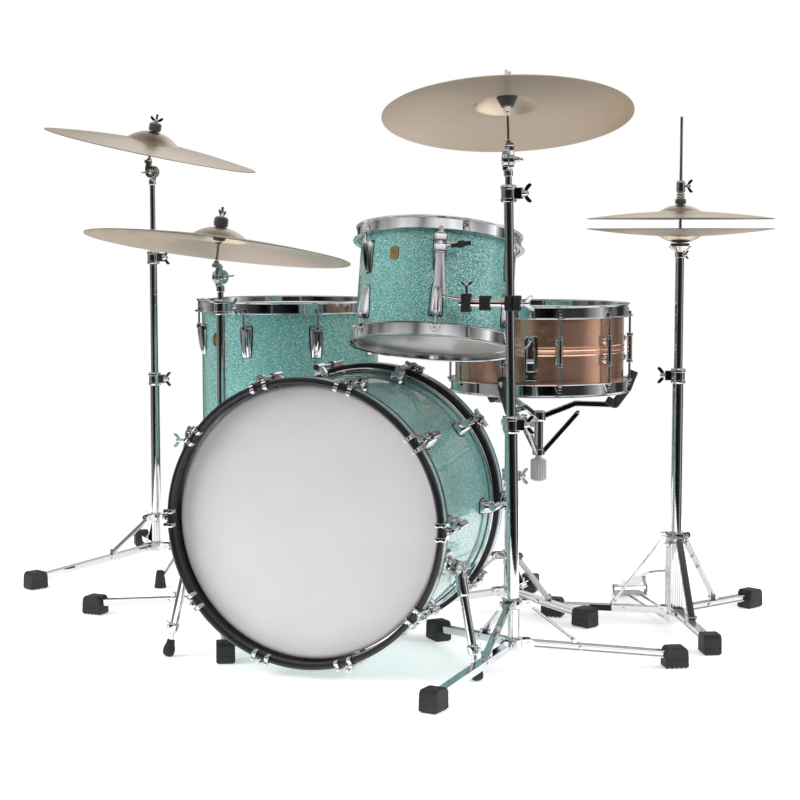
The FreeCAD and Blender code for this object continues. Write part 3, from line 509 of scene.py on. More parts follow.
def wing_nut(span=17.0):
    """A butterfly nut: a tapered hub and two rounded ears."""
    hub = lathe([(4.4, 0), (5.4, 0.8), (5.2, 4), (4.2, 8), (3.4, 9.4), (1.5, 10)])
    ear = rounded([(1.5, 1), (7, 2.2), (13, 5.5), (17, 10.5), (16.5, 15), (12.5, 15.5), (8, 11.5),
                   (3.5, 8)], 3.2)
    leaf = bar(ear, -1.5, 1.5, 1.1).moved(spin(90, "X"))
    scale = Matrix.Scale(span / 17, 4)
    return joined(hub, leaf, leaf.moved(spin(180))).moved(scale)


def key_head(size, height):
    """A washer, a flange and a square head with a crowned top."""
    half = size / 2
    square = bar(rectangle(size, size, 0.8), 3, height, 0.7)
    crown = dome(half * 0.72, 0.9, height)
    return joined(ring(half + 1.6, 1.6, 0, 1.6, 0.4), peg(half + 1.1, 1.5, 3.6, 0.6), square, crown)


def knurled(radius, low, high, count=22, depth=0.55):
    """A gripping cylinder with ridges."""
    turn = np.arange(count * 4) * 2 * math.pi / (count * 4)
    reach = radius - depth * (np.arange(count * 4) % 4 >= 2)
    edge = np.column_stack([reach * np.cos(turn), reach * np.sin(turn)])
    sizes = ((low, 0.93), (low + 1, 1), (high - 1, 1), (high, 0.93))
    return skin([level(edge * share, z) for z, share in sizes])


# ---------------------------------------------------------------- drums

class Drum:
    """Where a drum is: its frame with Z along the shell, its radius, half its depth, and its rods' places."""

    def __init__(self, name, z_axis, x_hint):
        low, high = corners(f"{name}_shell")
        self.name = name
        self.place = axes((low + high) / 2, z_axis, x_hint)
        shell = seen_from(np.vstack(solids(f"{name}_shell")), self.place)
        self.radius = float(np.hypot(shell[:, 0], shell[:, 1]).max())
        self.half = float(shell[:, 2].max())
        rods = [middle_of(seen_from(rod, self.place)) for rod in solids(f"{name}_tension_rods")]
        lugs = [seen_from(lug, self.place) for lug in solids(f"{name}_lugs")]
        self.lug_top = float(max(lug[:, 2].max() for lug in lugs))
        self.lug_end = float(min(lug[lug[:, 2] > 0][:, 2].min() for lug in lugs if lug[:, 2].max() > 0))
        self.rod_circle = 0.0
        self.rods = []
        for middle in rods:
            self.rod_circle = max(self.rod_circle, math.hypot(middle.x, middle.y))
            turn = bearing(middle)
            self.rods.append(spin(turn) @ FLIP if middle.z < 0 else spin(turn))

    def spots(self):
        return [self.place @ rod for rod in self.rods]

    def toward(self, point):
        """The drum's frame, turned so that its X points at the side where a point is."""
        return self.place @ spin(bearing(seen_from([point], self.place)[0]))

    def both(self, form):
        """A form at the top end, and the same at the bottom end."""
        return form.placed(self.place, self.place @ FLIP)


FILM = 0.5  # a head's thickness
PLY = 6  # the thickness of a wooden shell
ROD_SEAT = 11.5  # how far below the end of the shell a rod's head is seated on its rim


def build_shell(drum, body):
    radius, half = drum.radius, drum.half
    outline = mirrored([(radius, half - 1.5), (radius - 1.5, half), (radius - PLY, half - PLY)], 1)
    piece(f"{drum.name}_wrap", turned(outline, 0.7, 2), "glitter_wrap", body,
          stands_for=[f"{drum.name}_shell"], place=drum.place)
    inner = ring(radius - PLY + 0.3, radius - PLY - 0.4, 10 - half, half - 10, 0.2, ROUND)
    piece(f"{drum.name}_inner_ply", inner, "maple", body, place=drum.place)


def film_form(radius, half):
    """A head's film with the raised collar that runs down to its hoop."""
    under = 0.05 - FILM
    collar = [(-9, 0), (-4, -0.1), (-0.5, -0.5), (1.2, -1.6), (1.9, -3.8), (1.5, -3.9), (0.7, -2),
              (-0.8, under)]
    profile = [(radius * 0.30, 0), (radius * 0.62, 0)] + [(radius + out, z) for out, z in collar]
    return lathe(profile + [(radius * 0.3, under)], ROUND).moved(at(0, 0, half + FILM))


def build_heads(drum, body, finishes):
    """Two films, and the bright hoops that they are seated in."""
    for word, end, finish in zip(("top", "bottom"), (at(0, 0, 0), FLIP), finishes):
        piece(f"{drum.name}_{word}_film", film_form(drum.radius, drum.half), finish, body,
              stands_for=[f"{drum.name}_heads"], place=drum.place @ end)
    outline = [(drum.radius + out, drum.half + z) for out, z in (
        (0.8, -3.4), (5.2, -3.4), (6.2, -5.4), (6.2, -12), (0.8, -12))]
    piece(f"{drum.name}_flesh_hoops", drum.both(turned(outline, 1.2)), "satin_steel", body)


def build_rims(drum, body):
    """Flanged steel hoops with an ear at each rod."""
    half, reach = drum.half, drum.rod_circle
    wall = drum.radius + 7
    section = [(-3.8, -2.6), (0, -2.6), (0, -13.8), (9.5, -13.8), (9.5, -11.9), (1.9, -11.9), (1.9, 9.4),
               (5.2, 11.4), (5.6, 13), (3.6, 13.8), (0.6, 11.8), (0, -0.8), (-3.8, -0.8)]
    band = turned([(wall + out, half + z) for out, z in section], 0.9, 2)
    ear = rounded(mirrored([(reach + 6.5, 4.5), (reach + 1, 9), (wall, 15)], 1), 4)
    plate = bar(ear, half - 14, half - 11.6, 0.7)
    skirt = bar(rounded(mirrored([(half - 14, 13), (half + 4, 3.5)], 1), 2), 0, 2.2, 0.6)
    skirt = skirt.moved(at(wall + 1.2, 0, 0) @ ON_WALL)
    ears = joined(plate, skirt).placed(*drum.spots())
    piece(f"{drum.name}_rims", joined(drum.both(band), ears), "chrome", body,
          stands_for=[f"{drum.name}_hoops"])


def build_rods(drum, body, length):
    rod = joined(peg(2.4, -length, 1, 0.4, 16), key_head(6.0, 8.5))
    rod = rod.moved(at(drum.rod_circle, 0, drum.half - ROD_SEAT))
    piece(f"{drum.name}_rods", rod.placed(*drum.spots()), "chrome", body,
          stands_for=[f"{drum.name}_tension_rods"])


# where along a lug its sections lie
LUG_SHARES = [0, 0.03, 0.08, 0.2, 0.34, 0.48, 0.62, 0.74, 0.84, 0.92, 0.97, 1.0]


def lug_rings(radius, reach, top, length, width, swell=0.0):
    """Sections of a cast lug, full and broad at the rod's end, narrower and lower towards the other end.

    With a swell they are the flat gasket under the lug, that much wider and thicker instead.
    """
    rings = []
    for share in LUG_SHARES:
        half_width = width / 2 * np.interp(share, [0, 0.05, 0.2, 0.6, 0.9, 1],
                                           [0.93, 1.0, 1.0, 0.90, 0.76, 0.68])
        depth = reach * np.interp(share, [0, 0.05, 0.3, 0.7, 0.92, 1], [0.90, 1.0, 0.94, 0.70, 0.46, 0.30])
        ring_points = []
        for turn in np.linspace(0, math.pi, 21):
            across, rise = math.cos(turn), max(math.sin(turn), 0) ** 0.55
            ridge = 0.30 * math.exp(-(across / 0.30) ** 2)
            ridge += 0.10 * math.exp(-((abs(across) - 0.66) / 0.13) ** 2)
            out = depth * (0.62 * rise + ridge) if not swell else swell * rise
            ring_points.append((radius - 0.6 + out, (half_width + swell) * across, top - length * share))
        rings.append(ring_points)
    return rings


def build_tom_lugs(drum, body, width):
    length = drum.lug_top - drum.lug_end
    reach = drum.rod_circle - drum.radius
    cast = skin(lug_rings(drum.radius, reach + 7, drum.lug_top, length, width))
    mouth = joined(peg(6.2, -8, 1.5, 1.0), ring(5.2, 2.8, 0, 3, 0.6))
    lug = joined(cast, mouth.moved(at(drum.rod_circle, 0, drum.lug_top)))
    piece(f"{drum.name}_lug_castings", lug.placed(*drum.spots()), "chrome", body,
          stands_for=[f"{drum.name}_lugs"])
    gasket = skin(lug_rings(drum.radius, reach, drum.lug_top + 1.6, length + 3.2, width, swell=1.7))
    piece(f"{drum.name}_lug_gaskets", gasket.placed(*drum.spots()), "gasket", body)


def build_badge(drum, body):
    """A plain plate with a raised border, held by a grommet."""
    node = f"{drum.name}_badge"
    middle = middle_of(seen_from(solids(node)[0], drum.place))
    spot = drum.place @ spin(bearing(middle)) @ at(drum.radius, 0, middle.z) @ spin(90, "Y") @ spin(90)
    low, high = corners(node)
    tall = (high - low).z * 0.98
    wide = tall * 0.73
    corner = wide * 0.26
    outline = rounded(octagon(wide / 2, tall / 2, corner, corner), 0.7, 2)
    plate = bar(outline, 0.2, 1.5, 0.5)
    border = skin([level(drawn_in(outline, amount), z)
                   for amount, z in ((0.8, 1.2), (0.9, 2.0), (1.9, 2.0), (2.0, 1.2))], looped=True)
    grommet = turned([(2.2, 1), (4.6, 1), (4.4, 2.3), (3.3, 2.9), (2.2, 2.2)], 0.5, 2, 28)
    piece(f"{drum.name}_nameless_plate", joined(plate, border, grommet), "badge_metal", body,
          stands_for=[node], place=spot)


def build_bass_drum():
    drum = Drum("bass_drum", (0, -1, 0), (1, 0, 0))
    radius, half, body = drum.radius, drum.half, "kit"
    build_shell(drum, body)
    hoop = [seen_from(points, drum.place) for points in solids("bass_drum_hoops")][0]
    reach = np.hypot(hoop[:, 0], hoop[:, 1])
    bore, outer = float(reach.min()), float(reach.max())
    low, high = float(np.abs(hoop[:, 2]).min()), float(np.abs(hoop[:, 2]).max())
    middle, groove = (low + high) / 2, 7
    outline = [(bore, low + 1), (bore + 1, low), (outer - 1.5, low), (outer, low + 1.5),
               (outer, middle - groove), (outer - 1.6, middle - groove), (outer - 1.6, middle + groove),
               (outer, middle + groove), (outer, high - 4), (outer - 4, high), (bore + 4, high),
               (bore, high - 4)]
    piece("bass_hoops", drum.both(turned(outline, 1.4)), "black_lacquer", body,
          stands_for=["bass_drum_hoops"])
    strip = ring(outer + 0.1, outer - 2, middle - groove + 0.2, middle + groove - 0.2, 0.4, ROUND)
    piece("bass_hoop_inlays", drum.both(strip), "glitter_inlay", body,
          stands_for=["bass_drum_hoop_inlays"])

    top, under = half + 0.7, half + 0.05
    edge = [(-12, top), (-7, top + 0.5), (-3, top + 0.5), (0, top - 0.4), (2.4, top - 2.4), (2.8, low - 0.6),
            (1.2, low - 0.6), (-1, under)]
    film = lathe([(radius * share, top) for share in (0.2, 0.5, 0.8)] + [(radius + out, z) for out, z in edge]
                 + [(radius * 0.2, under)], ROUND)
    for word, end in (("front", at(0, 0, 0)), ("rear", FLIP)):
        piece(f"bass_{word}_film", film, "coated_head", body, stands_for=["bass_drum_heads"],
              place=drum.place @ end)
    seat = [(radius + 1.2, low - 0.5), (bore + 2, low - 0.5), (bore + 3.2, low - 2.5), (bore + 3.2, low - 9),
            (bore + 1.5, low - 10), (radius + 1.2, low - 10)]
    piece("bass_flesh_hoops", drum.both(turned(seat, 1.2)), "chrome", body)

    ring_radius = drum.rod_circle
    prong = rounded([(outer + 0.2, high - 27), (outer + 0.2, high + 0.3), (bore - 0.3, high + 0.3),
                     (bore - 0.3, high - 9), (bore - 3.2, high - 9), (bore - 3.2, high + 3.2),
                     (outer + 3.2, high + 3.2), (outer + 3.4, high - 27)], 1.6)
    hook = bar(prong, -3.5, 3.5, 1.2).moved(spin(90, "X"))
    cheek = rounded(mirrored([(-33, 8), (-20, 13), (-5, 16), (-5, 9), (-14, 6)], 1), 3)
    cheek = bar(cheek, 0, 4, 1).moved(at(outer + 0.5, 0, high) @ ON_WALL)
    ear = joined(peg(8, high - 27, high - 16, 1.4),
                 slab(12, 16, high - 27, high - 16.4, 2).moved(at(-6, 0, 0)))
    knob = joined(peg(4.6, -4.4, 4.4, 1.6).moved(at(bore + 2.6, 0, high + 2.6) @ spin(90, "X")),
                  peg(4.2, -4.2, 4.2, 1.4).moved(at(outer + 1.4, 0, high + 1.2) @ spin(90, "X")))
    prongs = joined(hook, knob).placed(at(0, 13, 0), at(0, -13, 0))
    claw = joined(prongs, cheek, ear.moved(at(ring_radius, 0, 0)))
    piece("bass_claws", claw.placed(*drum.spots()), "chrome", body, stands_for=["bass_drum_claws"])

    shank = peg(3, high - 98, high - 14, 0.6, 18)
    keyed = joined(shank, key_head(7.2, 11).moved(at(0, 0, high - 16)))
    handle = pipe([(0, -20, 0), (0, -13, 1.2), (0, 0, 2), (0, 13, 1.2), (0, 20, 0)], 3.6)
    knobs = [dome(4.6, 3.4, 0).moved(at(0, side * 18, 0.2) @ spin(-90 * side, "X")) for side in (-1, 1)]
    hub = lathe([(4, 0), (6, 1), (6, 4), (5, 7), (5.4, 10), (3, 12.4), (1, 12.8)])
    barred = joined(shank, hub.moved(at(0, 0, high - 16)), joined(handle, *knobs).moved(at(0, 0, high - 9)))
    rods = [(keyed if (place @ UP).y < place.translation.y else barred).moved(place @ at(ring_radius, 0, 0))
            for place in drum.spots()]
    piece("bass_rods", joined(*rods), "chrome", body, stands_for=["bass_drum_tension_rods"])
    build_bass_lugs(drum)


def build_bass_lugs(drum):
    """Small half round lugs: a shield on the shell that rises to a barrel round the rod."""
    radius, reach = drum.radius, drum.rod_circle - drum.radius
    start, length = drum.lug_end - 2, drum.lug_top - drum.lug_end - 4
    half_round = [math.pi * step / 18 for step in range(19)]
    rings, pads = [], []
    for share in (0, 0.04, 0.12, 0.25, 0.4, 0.55, 0.7, 0.82, 0.92, 0.98, 1):
        wide = 14.5 * math.sin(math.pi * (0.14 + 0.72 * share)) ** 0.5
        tall = (reach + 3) * math.sin(math.pi * (0.06 + 0.80 * share)) ** 0.6
        rings.append([(radius - 0.6 + tall * math.sin(turn) ** 0.7, wide * math.cos(turn),
                       start + length * share) for turn in half_round])
        pads.append([(radius - 0.6 + 2 * math.sin(turn) ** 0.4, (wide + 2) * math.cos(turn),
                      start - 2 + (length + 4) * share) for turn in half_round])
    top = drum.lug_top
    barrel = joined(peg(7.2, drum.lug_end, top - 2, 1.3), ring(6.2, 3.2, top - 2.2, top, 0.6))
    lug = joined(skin(rings), barrel.moved(at(drum.rod_circle, 0, 0)))
    piece("bass_lugs", lug.placed(*drum.spots()), "chrome", "kit", stands_for=["bass_drum_lugs"])
    piece("bass_lug_gaskets", skin(pads).placed(*drum.spots()), "gasket", "kit")


def build_spurs(drum_place):
    """On each side a gasket, plate and boss, a knuckle with its wing screw, and a leg with a rubber ball."""
    plates, gaskets = [], []
    brackets = sorted(solids("spur_brackets"), key=lambda points: -points[:, 0].mean())
    for word, points in zip(("right", "left"), brackets):
        pivot = anchor(f"spur_{word}_fold")
        outward = pivot - drum_place.translation
        outward.y = 0
        outward.normalize()
        reach = float(((points - np.array(drum_place.translation)) @ np.array(outward)).min())
        foot_of_boss = drum_place.translation + outward * reach
        foot_of_boss.y = pivot.y
        seat = axes(foot_of_boss, outward, (0, 1, 0))
        out = (pivot - seat.translation).length
        oval = rounded(octagon(30, 24, 16, 10), 12)
        gaskets.append(bar(drawn_in(oval, -1.8), -0.8, 1.4, 0.4).moved(seat))
        plates.append(joined(bar(oval, 0.8, 6.5, 2.2), lathe([(20, 5), (18, 8), (14, 10), (13.2, out - 15)]),
                             peg(3.6, 6, 8.4, 0.8).placed(at(22, 0, 0), at(-22, 0, 0))).moved(seat))
        down = -axis_of(f"spur_{word}_extend")
        foot = pivot + down * (pivot.z / -down.z)
        line = aim(pivot, foot, outward)
        length = (foot - pivot).length
        split = length * 0.74 - 9
        knuckle = joined(knurled(15, -13.5, 5, 30, 0.7), peg(12, 4, 7, 0.8)).moved(axes(pivot, outward, down))
        wing = wing_nut(15).moved(axes(pivot + outward * 5, outward, (0, 1, 0)) @ spin(35))
        socket = lathe([(9.5, 2), (10.8, 4), (10.8, length * 0.22), (9.6, length * 0.24),
                        (8, length * 0.245), (8, split - 5), (9.8, split - 3.5), (10.6, split),
                        (10.6, split + 12), (9.4, split + 14), (6.4, split + 14)])
        small = wing_nut(10).moved(at(9, 0, split + 5) @ spin(90, "Y"))
        piece(f"spur_{word}_upper", joined(knuckle, wing, joined(socket, small).moved(line)), "chrome",
              f"spur_{word}", stands_for=[f"spur_{word}_tube"])
        shaft = lathe([(5.4, 30), (5.4, length - 36), (5, length - 35), (5, length - 22)])
        piece(f"spur_{word}_rod", shaft.moved(line), "chrome", f"spur_{word}_end",
              stands_for=[f"spur_{word}_leg"])
        cap = lathe([(6.6, -34), (7.6, -33), (8.2, -27), (11.4, -17), (11.8, -11), (10.6, -4.5), (7, -1.2),
                     (2, -0.5)])
        tip = cap.moved(line @ at(0, 0, length))
        tip.points[:, 2] = np.maximum(tip.points[:, 2], 0)
        piece(f"spur_{word}_foot", tip, "rubber", f"spur_{word}_end")
    piece("spur_plates", joined(*plates), "chrome", "kit", stands_for=["spur_brackets"])
    piece("spur_gaskets", joined(*gaskets), "gasket", "kit")


# ---------------------------------------------------------------- rack tom and its arm

def build_tom(name, axis, lug_width):
    """A wrapped tom with its heads, rims, rods, lugs and badge, which all ride the tom's own body."""
    drum = Drum(name, axis, (1, 0, 0))
    build_shell(drum, name)
    build_heads(drum, name, ("coated_head", "clear_head"))
    build_rims(drum, name)
    build_rods(drum, name, drum.half - ROD_SEAT - drum.lug_top + 4)
    build_tom_lugs(drum, name, lug_width)
    build_badge(drum, name)
    return drum


def build_mount(drum):
    """The bracket over a lug, its jaw and T screw, the bent arm, and the clamp that holds the arm."""
    corner = anchor("tom_tilt")
    arm_axis, rise = axis_of("tom_tilt"), axis_of("rack_tom_height")
    arm = solids("tom_arm")[0] - np.array(corner)
    tall, wide = float((arm @ np.array(rise)).max()), float((arm @ np.array(arm_axis)).max())
    route = bent([corner + rise * tall, corner, corner + arm_axis * wide], 14, 10)
    piece("tom_arm_rod", pipe(route, 5.0, 24), "satin_steel", "tom_arm_body",
          stands_for=["tom_arm"])

    spot = drum.toward(corner)
    reach, radius = float(seen_from([corner], spot)[0][0]), drum.radius
    level = middle_of(seen_from([max(solids("rack_tom_mount")[0], key=lambda point: point[2])],
                                drum.place)).z - 4
    jaw_low, jaw_high = level - 34, level
    centre = (jaw_low + jaw_high) / 2
    jaw = joined(slab(20, 24, -17, -3, 4, 1.8), slab(20, 24, 3, 17, 4, 1.8), peg(7.4, -18, 18),
                 ring(9, 5.6, 17, 20, 0.7), ring(9, 5.6, -20.6, -17, 0.7)).moved(at(reach, 0, centre))
    link = slab(reach - radius - 14, 17, jaw_low + 2, jaw_high - 4, 3,
                1.6).moved(at((reach + radius + 10) / 2, 0, 0))
    sleeve = lathe([(5.4, -66), (6.8, -65), (6.8, -12), (7.8, -10), (7.8, -3.4)], 24)
    screw = joined(peg(3.4, 0, 27), ring(6.2, 3.2, 0, 4, 0.8)).moved(at(reach, 11, centre) @ spin(-90, "X"))
    piece("rack_tom_bracket", joined(jaw, link, screw).moved(spot), "chrome", "rack_tom",
          stands_for=["rack_tom_mount"])
    piece("tom_arm_sleeve", sleeve.moved(spot @ at(reach, 0, jaw_low)), "cast_grey", "tom_arm_body")
    handle = joined(pipe([(0, 0, -19), (0, 0, -7), (0, 0, 7), (0, 0, 19)], 4.4),
                    peg(6.4, -6, 6, 1.4).moved(spin(90, "X")))
    handle = handle.moved(at(reach, 38, centre) @ spin(-78, "X"))
    piece("rack_tom_t_handle", handle.moved(spot), "rubber", "rack_tom")

    line = aim(corner, corner + arm_axis)
    span = float(seen_from(solids("tom_clamp")[0], line)[:, 2].max()) - 32
    blocks = [slab(34, 27, 47.5, 64.5, 3, 1.4), slab(27, 25, 81, 101, 3, 1.4)]
    blocks += [slab(28, 28, span - 15, span - 1.5, 3, 1.4), slab(28, 28, span, span + 13, 3, 1.4)]
    piece("tom_clamp_blocks", joined(*blocks).moved(line), "gasket", "tom_holder")
    sleeve = lathe([(8, 42), (9.4, 43), (9.4, 47), (10.4, 66), (10.4, 80), (8.4, 100.5), (8.4, span - 22),
                    (10.8, span - 20), (10.8, span - 16)])
    stud = joined(peg(3, 12, 28), peg(6.5, 12, 16, 1), wing_nut(19).moved(at(0, 0, 20) @ spin(40)))
    screw = joined(peg(3, 0, 18), ring(5, 2.4, 0, 3), wing_nut(11).moved(at(0, 0, 16)))
    metal = joined(sleeve, stud.moved(at(0, 0, span)), screw.moved(at(14, 0, 56) @ spin(90, "Y")))
    piece("tom_clamp_metal", metal.moved(line), "chrome", "tom_holder", stands_for=["tom_clamp"])


# ---------------------------------------------------------------- floor tom

# how high above the floor a floor tom's leg bends out, and bends down again
LEG_BEND_HIGH, LEG_BEND_LOW = 205, 78


def build_floor_tom():
    """The tom, and its legs with their rubber tips, brackets, wing screws and memory collars."""
    drum, body = build_tom("floor_tom", UP, 30), "floor_tom"
    base = drum.place.copy()
    base.translation.z = 0
    rubber_tip = lathe([(13, 0), (14, 1.5), (13.6, 6), (12.4, 9), (12.8, 11), (11.4, 18), (11.8, 20),
                        (10, 30), (10.4, 32), (8.6, 38), (7, 40), (5.2, 40.4)])
    legs, tips, seats, bolts = [], [], [], []
    for points in solids("floor_tom_legs"):
        local = seen_from(points, base)
        top = middle_of(local[local[:, 2] > local[:, 2].max() - 4])
        foot = middle_of(local[local[:, 2] < local[:, 2].min() + 4])
        ring_radius, reach = math.hypot(top.x, top.y), math.hypot(foot.x, foot.y)
        spot = base @ spin(bearing(top))
        route = [(ring_radius, 0, top.z + 2), (ring_radius, 0, LEG_BEND_HIGH), (reach, 0, LEG_BEND_LOW),
                 (reach, 0, 14)]
        legs.append(pipe(bent(route, 36, 9), 5, 20).moved(spot))
        tips.append(rubber_tip.moved(spot @ at(reach, 0, 0)))
        bracket = min(solids("floor_tom_leg_brackets"),
                      key=lambda each: (middle_of(each) - middle_of(points)).xy.length)
        height, radius = middle_of(bracket).z, drum.radius
        wall = spot @ at(radius, 0, height) @ ON_WALL
        plate = rounded(octagon(34, 13, 8, 4), 5)
        seats.append(bar(drawn_in(plate, -1.5), -0.4, 1.2, 0.3).moved(wall))
        block = slab(ring_radius - radius + 12, 21, -20, 20, 6, 2)
        casting = joined(block.moved(at((radius + 10 - ring_radius) / 2, 0, 0)),
                         ring(9, 5.2, -24, -19, 0.8), ring(9, 5.2, 19, 24, 0.8),
                         peg(3.4, 0, 18).moved(at(10, 0, 0) @ spin(90, "Y")),
                         wing_nut(17).moved(at(22, 0, 0) @ spin(90, "Y")))
        bolts += [bar(plate, 0.8, 5, 1.6).moved(wall), casting.moved(spot @ at(ring_radius, 0, height))]
        collar = ring(8.4, 5, top.z - 62, top.z - 52, 1)
        legs.append(collar.moved(spot @ at(ring_radius, 0, 0)))
    piece("floor_tom_leg_rods", joined(*legs), "chrome", "kit", stands_for=["floor_tom_legs"])
    piece("floor_tom_leg_tips", joined(*tips), "rubber", "kit")
    piece("floor_tom_leg_gaskets", joined(*seats), "gasket", body)
    piece("floor_tom_leg_castings", joined(*bolts), "chrome", body, stands_for=["floor_tom_leg_brackets"])


# ---------------------------------------------------------------- snare drum and its basket

def build_snare():
    """The beaded copper shell with its heads, rims, rods and tube lugs."""
    drum = Drum("snare", UP, (1, 0, 0))
    body, radius, half = "snare", drum.radius, drum.half
    upper = [(0.4, 1), (1.6, 3), (1.6, 7), (0, 9), (0, half - 1), (-0.8, half), (-2, half - 2)]
    shell = turned(mirrored([(radius + out, z) for out, z in upper], 1), 1.0, 2)
    piece("snare_copper_shell", shell, "copper", body, stands_for=["snare_shell"], place=drum.place)
    build_heads(drum, body, ("coated_head", "clear_head"))
    build_rims(drum, body)
    build_rods(drum, body, 50)
    out = drum.rod_circle
    tube = joined(peg(5.4, -27, 27, 0.8), ring(6.6, 3, -31, -25, 1), ring(6.6, 3, 25, 31, 1))
    saddle = lathe([(7.5, 0.2), (7.5, 1.6), (5, 3.2), (4.2, 5), (4.2, out - radius)])
    saddles = [saddle.moved(at(radius, 0, z) @ spin(90, "Y")) for z in (-19.5, 19.5)]
    spots = [drum.place @ rod for rod in drum.rods if (rod @ Vector((0, 0, 1))).z > 0]
    lug = joined(tube.moved(at(out, 0, 0)), *saddles)
    piece("snare_tube_lugs", lug.placed(*spots), "chrome", body, stands_for=["snare_lugs"])
    build_strainer(drum)
    build_wires(drum)


def build_strainer(drum):
    """The strainer with its adjusting knob and lever, and the butt plate across from it."""
    spot, radius = drum.toward(anchor("snare_throw_off")), drum.radius
    plate = slab(70, 28, 0.4, 5, 5, 1.4).moved(at(radius, 0, -3) @ ON_WALL)
    slide = joined(slab(10, 18, -40, 6, 3, 1.4), knurled(7, 8, 20), peg(3, 5, 9)).moved(at(radius + 11, 0, 0))
    clamp = joined(slab(4, 26, -58, -40, 1.5), peg(2.2, 0, 5, 0.6).placed(
        at(2, 8, -49) @ spin(90, "Y"), at(2, -8, -49) @ spin(90, "Y"))).moved(at(radius + 10, 0, 0))
    butt = joined(slab(11, 33, -49, -11, 4, 2), slab(4, 28, -62, -48, 1.5)).moved(at(radius + 7, 0, 0))
    parts = joined(joined(plate, slide, clamp).moved(spot), butt.moved(spot @ spin(180)))
    piece("snare_strainer_metal", parts, "chrome", "snare", stands_for=["snare_strainer"])
    arm = bar(rounded(mirrored([(-22, 5), (16, 6), (33, 4)], 1), 3), -2, 2, 0.9).moved(ON_WALL)
    lever = joined(arm, peg(5, -8, 8, 1).moved(at(0, 0, -18) @ spin(90, "X")), peg(5, 22, 31, 1.5))
    piece("snare_lever_arm", lever.moved(spot @ at(radius + 22, 0, 0)), "chrome", "snare_lever",
          stands_for=["snare_throw_lever"])


def build_wires(drum):
    """Coiled wires under the lower head, with a plate and strap at each end."""
    spot = drum.toward(anchor("snare_throw_off"))
    depth, reach, count = -drum.half - 2.6, 140, 20
    gap, coil, pitch = 2.1, 0.55, 0.9
    wires = []
    for index in range(count):
        across = (index - (count - 1) / 2) * gap
        wires.append(pipe([(x, across + coil * math.cos(x * pitch + index),
                            depth + coil * math.sin(x * pitch + index))
                           for x in np.linspace(-reach, reach, 226)], 0.32, 5))
    plates = [slab(14, 44, depth - 0.9, depth + 0.9, 2, 0.4).moved(at(side * (reach + 5), 0, 0))
              for side in (-1, 1)]
    straps = [slab(30, 20, depth - 0.3, depth + 0.3, 1, 0.15).moved(at(side * (reach + 24), 0, 0))
              for side in (-1, 1)]
    piece("snare_coils", joined(*wires, *plates).moved(spot), "steel_wire", "snare",
          stands_for=["snare_wires"])
    piece("snare_straps", joined(*straps).moved(spot), "coated_head", "snare")


def build_basket():
    """The stand's top knuckle, the arm, the hub with its three arms and grips, and the big knob."""
    drum_low, drum_high = corners("snare_shell")
    centre = (drum_low + drum_high) / 2
    high = corners("snare_basket")[1]
    hub = at(centre.x, centre.y, 0)
    knuckle = anchor("snare_tilt")
    top = knuckle.z + 13
    line = aim(knuckle, Vector((centre.x, centre.y, knuckle.z)), UP)
    reach = (Vector((centre.x, centre.y, knuckle.z)) - knuckle).length
    points = seen_from(solids("snare_basket")[0], hub)
    turns = sorted(bearing(point) for point in points[points[:, 2] > high.z - 6])
    first = np.median([turn for turn in turns if turn - turns[0] < 40])
    socket = joined(lathe([(9.5, -78), (9.5, -8), (14, -6), (15, -3), (15, 12), (12, 15)]),
                    lathe([(9.6, -81), (13, -79), (13, -69), (9.6, -67)]))
    lying = line @ spin(-90, "X")
    tongue = bar(rounded(mirrored([(11, -2), (9, reach - 6)]), 4), 2, 11, 2)
    metal = [socket.moved(hub @ at(0, 0, top)), tongue.moved(lying @ FLIP),
             joined(knurled(14, 1.8, 11.6, 26), peg(9, 11, 14)).moved(lying),
             wing_nut(16).moved(lying @ at(0, 0, 14))]
    grips = []
    for index in range(3):
        spot = hub @ spin(first + 120 * index)
        route = bent([(12, 0, top + 4), (82, 0, top + 15), (158, 0, top + 41), (206, 0, top + 49),
                      (206, 0, high.z - 4)], 16)
        flat = rectangle(7, 13, 2)
        metal.append(pipe(route, 4.6, section=flat).moved(spot))
        metal.append(pipe([(10, 0, 352), (84, 0, top + 10)], 4, section=rectangle(5.5, 11, 1.6)).moved(spot))
        metal.append(peg(3.2, -6.5, 6.5, 1).moved(spot @ at(84, 0, top + 12) @ spin(90, "X")))
        sheath = bent([(146, 0, top + 37), (160, 0, top + 41.5), (204, 0, top + 51), (204, 0, high.z)], 15, 9)
        grips.append(pipe(sheath, 7.6, section=rectangle(15, 18, 4.5)).moved(spot))
    piece("basket_metal", joined(*metal), "chrome", "snare", stands_for=["snare_basket"])
    piece("basket_grips", joined(*grips), "rubber", "snare")
    knob = joined(knurled(17, 293, 335, 18, 1.4), lathe([(15, 335), (13, 337), (8, 338), (5, 346)]),
                  dome(14, 3, 0).moved(at(0, 0, 292) @ FLIP))
    piece("basket_knob", knob.moved(hub), "cast_grey", "snare")
    column = at(knuckle.x, knuckle.y, 0)
    tube = lathe([(8.7, 150), (8.7, top - 42), (9.6, top - 41), (9.6, top - 29), (7.6, top - 27.6)])
    cheek = joined(knurled(14, -10, -1, 26), peg(8, -13, -9.4))
    neck = slab(9, 9, top - 34, top - 18, 2)
    pole = joined(joined(tube, neck).moved(column), cheek.moved(lying))
    piece("snare_stand_pole", pole, "chrome", "snare_pole", stands_for=["snare_stand_upper_tube"])


# ---------------------------------------------------------------- stands

LOWEST_COLLAR = 250  # the hubs and brace collars lie below this height, and the height collars above it
BRACE_SHARE = 0.37  # where along a leg its brace is pinned


